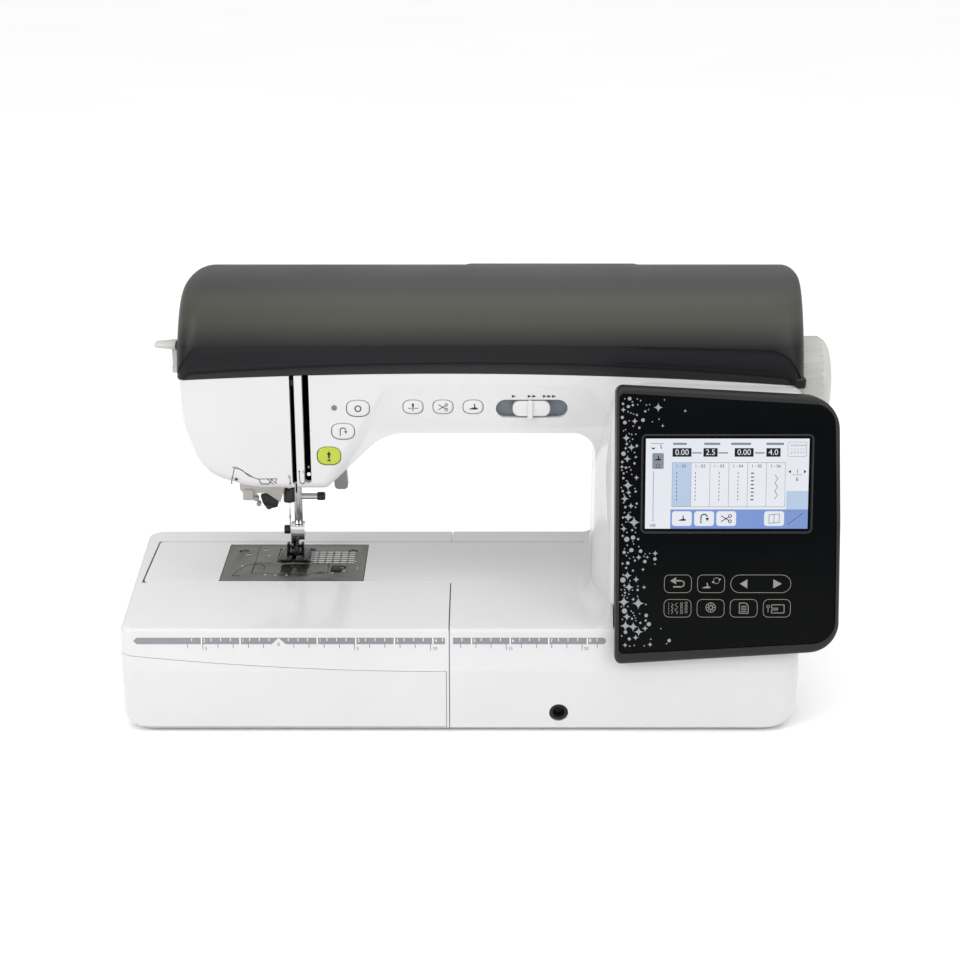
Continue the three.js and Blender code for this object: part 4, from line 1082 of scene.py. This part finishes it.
def buttons():
    """Sprung keys with a rounded cap, the thin dark ring round each, and its mark."""
    cap = [(2.6, -0.5), (2.0, -0.48), (1.3, -0.4), (0.7, -0.22), (0.25, 0.05), (0.0, 0.5), (0.0, 5.0)]
    gap = [(0.0, 0.9), (0.9, 0.9), (0.9, 4), (0.0, 4)]
    for name, (x, z, w, h, face) in BUTTONS.items():

        def rings(section, grow):
            outlines = [(oval(x, z, w + grow - 2 * i, h + grow - 2 * i), face + y) for i, y in section]
            return [[at(p[0], y, p[1]) for p in outline] for outline, y in outlines]

        body = name + "_key"
        colour = LIME if name == "start_stop_button" else WHITE
        show(name + "_cap", loft(rings(cap, -0.5), 50), colour, body, name)
        show(name + "_gap", loft(rings(gap, 1.6), wrap=True), SHADOW, *FRONT)
        icon, size = ICONS[name]
        art = Art(on_face(0.57, face))
        icon(art, x, z, size)
        art.build(name + "_mark", MARK_INK, body)


def slider():
    knob = prism(rect(24.6, 199.9, 49.6, 210.7, 4.8), 60.6, 66, "y", 1.3, 0)
    show("slider_knob", knob, WHITE, *SPEED)
    ridge = prism(rect(34.4, 198.2, 38.2, 211.4, 1.6), 59.3, 62, "y", 1.0, 0)
    show("slider_ridge", ridge, WHITE, *SPEED)
    marks = Art(lambda a, b: at(a, 60 + 3.2 * (222 - b) / 33 - 0.06, b))
    for x in (24.1, 34.5, 37.6, 44.5, 47.5, 50.6):
        marks.poly([(x, 213.0), (x + 2.7, 214.1), (x, 215.2)])
    marks.build("speed_marks", MARK_INK)


def head_marks():
    marks = Art(lambda a, b: at(a, 59.94, b + 1))
    for points, width in (
        ([(-164, 152.6), (-161.6, 163), (-157, 162), (-152, 157.4), (-146, 155.2), (-134, 155.4)], 0.5),
        ([(-163, 163.6), (-160.2, 163.8), (-155.4, 160.4), (-150, 157.2)], 0.42),
        ([(-145.5, 155), (-144, 151.6), (-139, 151.6), (-136.6, 155)], 0.5),
        ([(-139.5, 155), (-135.6, 151.2)], 0.42),
        ([(-137.4, 155.2), (-133.6, 152)], 0.42),
        ([(-133.4, 155.6), (-134.4, 152.6)], 0.42),
        ([(-124.5, 151.6), (-124.6, 156.4)], 0.5),
        ([(-118.2, 160.6), (-118, 154), *arc_points(-116.3, 153.6, 1.7, 180, 360), (-114.5, 160.2)], 0.5),
    ):
        marks.line(points, width)
    for x, z, r in ((-160.6, 155, 1.0), (-163.8, 152.4, 0.6), (-124.5, 151.8, 0.5), (-118.2, 160.6, 0.6)):
        marks.disc(x, z, r)
    marks.ring(-125.0, 157.0, 0.7, 0.3)
    marks.ring(-115.0, 160.6, 0.7, 0.3)
    marks.build("threading_marks", MARK_INK)


def thread_guides():
    rail = prism(rect(-114.2, 157, -110.6, 186, 1.2), 69, 70.2, "y", 0.3, 0)
    show("thread_rail", rail, PIT, slot="black_metal")
    roller = [(0.01, 66.4), (1.3, 66.4), (1.0, 67.2), (1.3, 68.4), (0.01, 68.4)]
    show("thread_roller", turned(roller, (-112.4, 157.4), "y", 24), CHROME)
    pin = turned([(0.01, 65.8), (0.6, 65.8), (0.6, 68.4), (0.01, 68.4)], (-112.4, 162.5), "y", 20)
    show("thread_pin", pin, WHITE)


def threader_grip():
    """A flat tapering thumb piece beside the head, on a stem that goes in through a slot."""
    section = [(-214.1, 1.2, 3), (-213.6, 1.8, 3.6), (-212.4, 2.1, 4.1), (-207, 2.3, 5.2)]
    section += [(-201, 2.7, 6.8), (-199.8, 2.5, 6.6), (-199.4, 2, 6)]
    rings = []
    for x, a, b in section:
        rings.append([at(x, 85 + p[0], 242.9 + p[1]) for p in oval(0, 0, 2 * b, 2 * a, 3, 32)])
    show("threader_grip", loft(rings), PALE, *GRIP)
    stem = block(-203, 82, 224, -184, 88, 228.4)
    show("threader_stem", stem, PALE, *GRIP)
    link = block(-202.6, 82.4, 224, -199.6, 87.6, 241)
    show("threader_link", link, PALE, *GRIP)


def threader_hook():
    """The small hook mechanism that hangs below the threader's plate."""
    outline = [[-151.5, 126, 1], [-146.5, 127, 1], [-138.4, 121, 1.5]]
    outline += [[-139.6, 117, 1], [-146.6, 115.4, 1.5], [-149.6, 119.4, 1]]
    show("threader_hook", prism(outline, 110, 113.4, "y", 0.4, 0.4), DARK_STEEL, *HOOK)
    for i, (x, z, r) in enumerate(((-154.2, 123.4, 1.9), (-152.6, 119.4, 1.7), (-145.6, 117.4, 2.0))):
        pin = turned([(0.01, 109.2), (r - 0.4, 109.2), (r, 109.6), (r, 113), (0.01, 113)], (x, z), "y", 24)
        show(f"threader_pin_{i + 1}", pin, BLACK if i == 2 else STEEL, *HOOK, "steel")
    left = [(-165.7, 137), (-165.7, 130), (-163.8, 127.5), (-163.8, 121.7), (-155, 121.7)]
    right = [(-153.5, 127), (-147.7, 127.5), (-137.6, 120), (-134.2, 131), (-134.2, 137)]
    plate = prism([[x, z, 0.8] for x, z in left + right], 110.8, 112.8, "y", 0.4, 0.4, arc=5)
    show("threader_plate", plate, WARM_PALE, *HOOK)
    fold = prism(rect(-163, 122.4, -156, 130, 0.8), 109.6, 111, "y", 0.4, 0)
    show("threader_fold", fold, WARM_PALE, *HOOK)
    rod = turned([(0.01, 136), (2, 136), (2, 222), (0.01, 222)], (-158, 111.8), "z", 20)
    show("threader_rod", rod, STEEL, *HOOK)


def clamp_screw():
    rod = [(0.01, -123), (2.15, -123), (2.15, -111.6), (0.01, -111.6)]
    show("clamp_rod", turned(rod, CLAMP_SCREW, "x", 28), CHROME, *CLAMP)
    knob = [(0.01, -112), (2.5, -112), (2.9, -111.6), (3.0, -110.8)]
    knob += [(3.0, -107.6), (2.7, -106.7), (2.0, -106.3), (0.01, -106.3)]
    show("clamp_knob", turned(knob, CLAMP_SCREW, "x", 28), BLACK, *CLAMP)


def plate_details():
    """Guide lines, screws and the latch outline on the needle plate, and bright pads on the foot."""
    pale = Art(on_plate(0.06))
    for row in range(6):
        y = 133.7 - 3.9 * row
        for k in range(6):
            x = -117.8 + 5.35 * k
            pale.poly([(x, y - 0.5), (x + 4, y - 0.5), (x + 4, y + 0.5), (x, y + 0.5)])
    dots = [(-148, 92), (-141, 91.5), (-133, 91), (-101, 95), (-93, 99), (-84, 104), (-86, 116)]
    for x, y in [*dots, (-166, 108), (-149, 127)]:
        pale.disc(x, y, 0.6, 12)
    pale.line([(-101, 104.5), (-94, 104.5)], 0.6)
    pale.build("plate_guides", MARK_WHITE)
    dark = Art(on_plate(0.05))
    dark.line([(-157.4, 145.7), (-157.4, 112.9)], 0.6)
    latch = [(-170.9, 90.2), (-168.6, 98.4), (-165.6, 105), (-161, 110.4)]
    dark.line([*latch, (-155.7, 112.9), (-152.6, 111.8), (-150.2, 107), (-149.4, 102)], 0.7)
    dark.line([(-171, 90.2), (-166, 90.2)], 1.0)
    dark.line([(-93.6, 105), (-93.6, 101.5)], 1.0)
    dark.line([(-117.5, 136), (-114, 136)], 1.4)
    dark.line([(-117.5, 129.8), (-113.5, 129.8)], 1.2)
    for x in (-110.5, -106.5, -102.5):
        dark.disc(x, 131.6, 1.0, 14)
    dark.build("plate_lines", MARK_INK)
    for i, x in enumerate((-135.5, -124.5)):
        pad = prism(rect(x - 1.6, 109.5, x + 1.6, 117.5, 0.8), 75.5, 77.2, "z", 0, 0.4)
        show(f"foot_pad_{i + 1}", pad, CHROME, "foot")
    for i, (x, y) in enumerate(((-163.5, 130), (-152, 138.6))):
        head = turned([(0.01, 73.5), (2.2, 73.45), (2.7, 73.2), (2.8, 72.8), (0.01, 72.8)], (x, y), "z", 32)
        show(f"plate_screw_{i + 1}", head, STEEL)
        slot = block(x - 2.1, y - 0.4, 73.3, x + 2.1, y + 0.4, 73.54)
        show(f"plate_screw_slot_{i + 1}", slot, PIT, slot="black_metal")


# ---------------------------------------------------------------- rule along the bed
INCH = 25.35
CENTI = 9.97
ZERO = -129.3


def rule():
    for body, lo, hi, name in (("bed_attachment", -224.9, -20.0, "left"), ("machine", -14.7, 85.7, "right")):
        strip = Art(on_band(0.05))
        if name == "left":
            tip = [(ZERO, 67.4), (ZERO, 67.5)]
            strip.poly([(lo + 2.2, 63.2), (ZERO - 4.6, 63.2), *tip, (lo + 2.2, 67.5), (lo, 65.35)])
            strip.poly([(ZERO + 4.6, 63.2), (hi, 63.2), (hi, 67.5), *reversed(tip)])
        else:
            strip.poly(pairs([[lo, 63.2, 0], [hi, 63.2, 2], [hi, 67.5, 2], [lo, 67.5, 0]], 0, 8))
        strip.build("rule_strip_" + name, MARK_GREY, body)
        light = Art(on_band(0.1))
        dark = Art(on_band(0.05))
        for k in range(-16, 34):
            x = ZERO + k * INCH / 4
            if not lo + 3 < x < hi - 0.5 or abs(x - ZERO) < 5 or x < ZERO - 2.35 * INCH:
                continue
            half, b0, b1 = (0.2, 65.2, 67.2) if k % 4 else (0.35, 63.3, 67.4)
            light.poly([(x - half, b0), (x + half, b0), (x + half, b1), (x - half, b1)])
            if k % 4 == 0:
                light.digits(str(abs(k // 4)), x + 1.9, 65.6, 2.9)
        for k in range(-6, 22):
            x = ZERO + k * CENTI
            if not lo + 3 < x < hi - 0.5 or k == 0:
                continue
            b0 = 60.6 if k % 5 else 59.2
            dark.poly([(x - 0.2, b0), (x + 0.2, b0), (x + 0.2, 63.2), (x - 0.2, 63.2)])
            if k % 5 == 0:
                dark.digits(str(abs(k)), x + (2.1 if abs(k) < 10 else 2.8), 60.2, 3.0)
        if name == "left":
            dark.digits("0", ZERO, 63.1, 3.4)
        light.build("rule_inches_" + name, MARK_WHITE, body)
        dark.build("rule_centimetres_" + name, MARK_DARK, body)


# ---------------------------------------------------------------- display artwork
def key_frames():
    marks = Art(on_display(0.05, 0.15))
    for x0 in (122.4, 143.9, 165.4, 186.9):
        marks.frame(x0, 31.7, x0 + 17.9, 43.7, 3.4, 0.3)
    for x0, x1, r in ((122.4, 140.3, 3.4), (143.9, 161.8, 3.4), (165.4, 204.8, 6)):
        marks.frame(x0, 47.9, x1, 59.9, r, 0.3)
    marks.build("touch_key_frames", MARK_PALE)
    icons = Art(on_display(0.06, 0.15))
    icons.poly([(171.5, 53.9), (176.4, 50.9), (176.4, 56.9)])
    icons.poly([(198.8, 53.9), (193.2, 50.9), (193.2, 56.9)])
    icons.line([(129.2, 55.9), *arc_points(133.4, 53.9, 2.0, 90, -90, 8), (128.6, 51.9)], 0.9)
    icons.poly([(130.2, 58.2), (130.2, 53.6), (126.4, 55.9)])
    foot_icon(icons, 149.6, 52.4, 2.4)
    icons.line(arc_points(156.3, 55.9, 1.9, 30, 150), 0.5)
    icons.line(arc_points(156.3, 55.9, 1.9, 210, 330), 0.5)
    icons.poly([(157.3, 57.5), (159.4, 57.2), (158.2, 55.5)])
    icons.poly([(155.3, 54.3), (153.2, 54.6), (154.4, 56.3)])
    for k in range(7):
        icons.disc(125.6, 34.2 + 1.15 * k, 0.28, 8)
    icons.line([(127.6 + (0.9 if k % 2 else -0.3), 34.2 + 1.15 * k) for k in range(7)], 0.3)
    icons.line([(130.6 + 0.9 * sin(k * 1.1), 34.2 + 0.58 * k) for k in range(13)], 0.3)
    for k in range(4):
        icons.ring(133.9, 34.9 + 1.95 * k, 0.75, 0.25, 12)
        icons.ring(136.9, 35.3 + 1.95 * k, 0.75, 0.25, 12)
    icons.ring(152.9, 38.2, 3.1, 0.4)
    icons.ring(152.9, 38.2, 1.2, 0.4)
    for k in range(8):
        g = pi * k / 4
        icons.line([(152.9 + r * cos(g), 38.2 + r * sin(g)) for r in (1.5, 2.5)], 0.45)
    sheet = [(171.5, 34.4), (171.5, 41.2), (175.6, 41.2), (177.3, 39.5), (177.3, 34.4)]
    icons.line([*sheet, sheet[0]], 0.45)
    for k in range(4):
        icons.line([(172.6, 35.6 + 1.15 * k), (176.1, 35.6 + 1.15 * k)], 0.4)
    bed = [(192.4, 34.6), (200.6, 34.6), (200.6, 40), (192.4, 40)]
    icons.line([*bed, (192.4, 37.8), (196.4, 37.8), (196.4, 36.6), (192.4, 36.6), bed[0]], 0.45)
    icons.ring(190.2, 38.8, 0.9, 0.35, 14)
    icons.line([(190.2, 37.9), (190.2, 35.2)], 0.4)
    icons.build("touch_key_icons", MARK_PALE)


def sparkles():
    rng = random.Random(11)
    art = Art(on_display(0.05, 0.15))
    taken = []
    x0, v0, x1, v1 = LCD

    def edge(v):
        """How far the scatter reaches in from the left, wide at the top and bottom."""
        humps = ((25, 176, 24), (9, 78, 18), (17, 12, 18))
        return 12 + sum(a * exp(-(((v - b) / c) ** 2)) for a, b, c in humps)

    def room(x, v, size_r, r):
        """Whether a mark fits clear of the screen, the panel's edges and the marks before it."""
        if x0 - 4.5 - r < x < x1 + 5 + r and v0 - 4.5 - r < v < v1 + 5 + r:
            return False
        if v - size_r * 0.9 < 9.6 + (x - 93.6) * 0.05 or v + size_r * 0.9 > 177.4 - (x - 91.8) * 0.073:
            return False
        return all((x - a) ** 2 + (v - b) ** 2 > (r + c + 0.35) ** 2 for a, b, c in taken)

    for size, count in ((4.2, 9), (3.1, 24), (2.2, 50), (1.5, 110), (0.9, 260)):
        for _ in range(count):
            v = rng.uniform(10.5, 175.5)
            reach = edge(v)
            x = 93.8 + (v - 9) * (-1.8 / 169) + 0.8 + size * 0.5 + abs(rng.gauss(0, 0.5)) * reach
            if x > 93.8 + reach * 1.25:
                continue
            size_r = size * rng.uniform(0.85, 1.1)
            wide = size_r * (0.55 if size > 2.5 else 0.7)
            if not room(x, v, size_r, wide):
                continue
            taken.append((x, v, wide))
            if size > 3.5 or rng.random() < 0.5:
                art.star(x, v, size_r)
            else:
                art.disc(x, v, size_r * 0.5, 18)
    art.build("sparkle_print", MARK_STAR)


def screen_art():
    """The generic stitch page, with places given as shares of the screen's width and height."""
    x0, v0, x1, v1 = LCD
    w, h = x1 - x0, v1 - v0
    layer = lambda lift: Art(on_display(lift, 1.05))

    def on(*points):
        return [(x0 + w * s, v0 + h * t) for s, t in points]

    def tile(art, s0, t0, s1, t1, r=0.0):
        (a0, b0), (a1, b1) = on((s0, t0), (s1, t1))
        art.tile(a0, b0, a1, b1, r)

    page = layer(0.05)
    page.tile(x0, v0, x1, v1)
    page.build("screen_page", SCREEN)
    blue = layer(0.1)
    tile(blue, 0.155, 0.0, 1.0, 0.215)
    blue.build("screen_bar", SCREEN_BLUE)
    pale = layer(0.1)
    tile(pale, 0.163, 0.245, 0.277, 0.735)
    tile(pale, 0.865, 0.215, 1.0, 0.42)
    pale.build("screen_highlight", SCREEN_LIGHT)
    keys = layer(0.15)
    for s in (0.165, 0.302, 0.438):
        tile(keys, s, 0.03, s + 0.122, 0.195, 1.9)
    tile(keys, 0.732, 0.03, 0.855, 0.195, 1.9)
    keys.build("screen_keys", SCREEN)
    grey = layer(0.15)
    for s in [0.163 + 0.1155 * k for k in range(7)]:
        grey.line(on((s, 0.245), (s, 0.735)), 0.25)
    for t in (0.245, 0.735):
        grey.line(on((0.163, t), (0.856, t)), 0.25)
    for t0, t1, r, width in ((0.8, 0.965, 1.0, 0.25), (0.03, 0.195, 1.9, 0.3)):
        (a0, b0), (a1, b1) = on((0.868, t0), (0.985, t1))
        grey.frame(a0, b0, a1, b1, r, width)
    tile(grey, 0.04, 0.665, 0.11, 0.84, 0.8)
    for s, length in ((0.165, 9), (0.355, 10.5), (0.52, 13), (0.735, 11.5)):
        (a0, b0), (_, b1) = on((s, 0.93), (s, 0.955))
        grey.tile(a0, b0, a0 + length, b1, 0.6)
    for s in (0.283, 0.443, 0.667):
        tile(grey, s, 0.835, s + 0.06, 0.85, 0.3)
    grey.build("screen_lines", SCREEN_GREY)
    ink = layer(0.2)
    for s, share in ((0.163, 0.116), (0.352, 0.087), (0.543, 0.116), (0.737, 0.087)):
        tile(ink, s, 0.8, s + share, 0.895, 0.2)
    for k, s in enumerate((0.191, 0.305, 0.451, 0.567, 0.655, 0.802)):
        for i in range(8 if k < 5 else 0):
            a, b = on((s, 0.325 + 0.042 * i))[0]
            if k == 4:
                ink.tile(a - 1.0, b - 0.45, a + 1.0, b + 0.25, 0.1)
            else:
                ink.line([(a, b - 0.55), (a, b + 0.55)], 0.42)
        if k == 5:
            zigzag = [on((s, 0.33 + 0.045 * i))[0] for i in range(7)]
            ink.line([(a + (0.9 if i % 2 else -0.9), b) for i, (a, b) in enumerate(zigzag)], 0.3)
        ink.digits("1 - 0" + str(k + 1), *on((0.163 + 0.1155 * k + 0.055, 0.695))[0], 2.9)
    for icon, s, size in ((turn_icon, 0.363, 2.4), (foot_icon, 0.226, 2.3), (scissors_icon, 0.499, 2.3)):
        icon(ink, *on((s, 0.112))[0], size)
    ink.line(on((0.762, 0.06), (0.762, 0.155), (0.825, 0.165), (0.825, 0.07), (0.762, 0.06)), 0.3)
    ink.line(on((0.793, 0.065), (0.793, 0.16)), 0.3)
    ink.line(on((0.878, 0.05), (0.972, 0.175)), 0.3)
    for s in [0.885 + 0.02 * k for k in range(5)]:
        ink.line(on((s, 0.935), (s + 0.008, 0.915), (s + 0.016, 0.935)), 0.22)
        ink.line(on((s, 0.885), (s + 0.01, 0.885)), 0.22)
        ink.line(on((s, 0.835), (s + 0.01, 0.86)), 0.22)
    ink.digits("1", *on((0.93, 0.635))[0], 3.6)
    ink.line(on((0.9, 0.6), (0.96, 0.6)), 0.25)
    ink.digits("6", *on((0.93, 0.55))[0], 3.6)
    ink.poly(on((0.875, 0.635), (0.89, 0.655), (0.89, 0.615)))
    ink.poly(on((0.985, 0.635), (0.97, 0.655), (0.97, 0.615)))
    foot_icon(ink, *on((0.07, 0.78))[0], 2.1)
    ink.ring(*on((0.075, 0.7))[0], 1.2, 0.3, 16)
    ink.poly(on((0.045, 0.88), (0.03, 0.9), (0.06, 0.9)))
    ink.line(on((0.03, 0.945), (0.11, 0.945)), 0.25)
    ink.line(on((0.09, 0.93), (0.095, 0.89)), 0.5)
    for i in range(19):
        ink.line(on((0.048, 0.085 + 0.0295 * i), (0.048, 0.104 + 0.0295 * i)), 0.35)
    ink.digits("100", *on((0.045, 0.035))[0], 2.8)
    ink.build("screen_ink", SCREEN_INK)
    bright = layer(0.25)
    for s, text in ((0.221, "0.00"), (0.3955, "2.5"), (0.601, "0.00"), (0.7805, "4.0")):
        bright.digits(text, *on((s, 0.847))[0], 5.2)
    bright.build("screen_digits", SCREEN)


buttons()
slider()
head_marks()
thread_guides()
threader_grip()
clamp_screw()
threader_hook()
plate_details()
rule()
key_frames()
sparkles()
screen_art()


# ---------------------------------------------------------------- handwheel and handle
def handwheel():
    profile = [(4.5, 218.6), (28.6, 218.6), (29.6, 219.4), (30.3, 222), (30.5, 226)]
    profile += [(30.5, 226 + 2 * k) for k in range(1, 4)]
    quarter = [pi / 2 * k / 10 for k in range(1, 11)]
    profile += [(30.5 - 9 * (1 - cos(g)), 232.8 + 9 * sin(g)) for g in quarter]
    profile += [(20.6, 241.8), (19.8, 241.2), (18.4, 239), (16, 238.4)]
    profile += [(0.01, 238.4), (0.01, 228), (4.5, 228)]
    show("handwheel_rim", turned(profile, SHAFT, "x", 96, 40), PALE, *WHEEL)
    bm = bmesh.new()
    spots = [(x, s, r) for x in (221.5, 235.5) for s in (-0.9, 0.9) for r in (30.35 - 0.6, 30.35 + 0.22)]
    for g in full_turn(36):
        rot = Matrix.Rotation(g, 4, "X")
        vs = [bm.verts.new(at(0, *SHAFT) + rot @ (Vector(spot) / 1000)) for spot in spots]
        for f in ((0, 1, 3, 2), (4, 6, 7, 5), (0, 4, 5, 1), (2, 3, 7, 6), (1, 5, 7, 3), (0, 2, 6, 4)):
            bm.faces.new([vs[i] for i in f])
    ribs = show("handwheel_grip", tidy(bm), PALE, *WHEEL)
    soften(ribs, 0.2, 2)


def handle():
    left, right, bend = -10, 117, 7
    y, low = HANDLE_PIN
    high = 274 - bend
    quarter = [pi / 2 * k / 8 for k in range(1, 9)]
    path = [(left, low), (left, high)]
    path += [(left + bend * (1 - cos(g)), high + bend * sin(g)) for g in quarter]
    path += [(right - bend * (1 - cos(g)), high + bend * sin(g)) for g in reversed(quarter)]
    path += [(right, high), (right, low)]
    rings = []
    for i, (x, z) in enumerate(path):
        a = Vector(path[max(i - 1, 0)])
        b = Vector(path[min(i + 1, len(path) - 1)])
        d = (b - a).normalized()
        side = Vector((-d.y, d.x))
        ring = []
        for g in full_turn(20):
            u = 4.8 * copysign(abs(cos(g)) ** 0.75, cos(g))
            v = 5.3 * copysign(abs(sin(g)) ** 0.75, sin(g))
            ring.append(at(x + side.x * u, y + v, z + side.y * u))
        rings.append(ring)
    show("carry_handle_bar", loft(rings, angle=45), CHARCOAL, *HANDLE)
    for i, x in enumerate((left, right)):
        hub = [(0.01, -5.6), (6, -5.6), (6.6, -5), (6.6, 5), (6, 5.6), (0.01, 5.6)]
        hub = turned([(r, x + s) for r, s in hub], HANDLE_PIN, "x", 36)
        show(f"handle_hub_{i + 1}", hub, CHARCOAL, *HANDLE)


handwheel()
handle()

# ---------------------------------------------------------------- CAD nodes that stay
FINISHES = {
    WHITE: ["free_arm_cover"],
    TRIM: [
        "base_plate", "top_tray", "knee_lifter_socket", "feed_dog_lever",
        "power_switch", "power_inlet", "bobbin_cover_latch",
    ],
    RUBBER: [*[f"rubber_foot_{i}" for i in range(1, 5)], "timing_belt", "drive_belt"],
    GREY: ["spool_pin", "spool_cap"],
    WARM: ["presser_lever"],
    PALE: ["bobbin_winder"],
    SLATE: ["status_lamp"],
    CHROME: ["needle_bar", "needle", "presser_bar", "foot_holder"],
    BLACK: ["needle_clamp", "holder_screw", "bobbin_case", "drive_motor", "take_up_lever"],
    DARK_STEEL: ["presser_foot"],
    PLATE: ["needle_plate"],
    STEEL: ["rotary_hook", "feed_dog", "main_shaft", "lower_shaft"],
    SMOKED: ["bobbin_cover", "bobbin"],
    CAST: ["feed_bar", "connecting_rod", "arm_frame"],
    BOARD: ["circuit_board"],
}
for material, names in FINISHES.items():
    for name in names:
        fine = material in (CHROME, BLACK, PLATE, STEEL, DARK_STEEL, SMOKED)
        keep(name, material, 0 if material == WHITE else 0.25 if fine else 0.5)
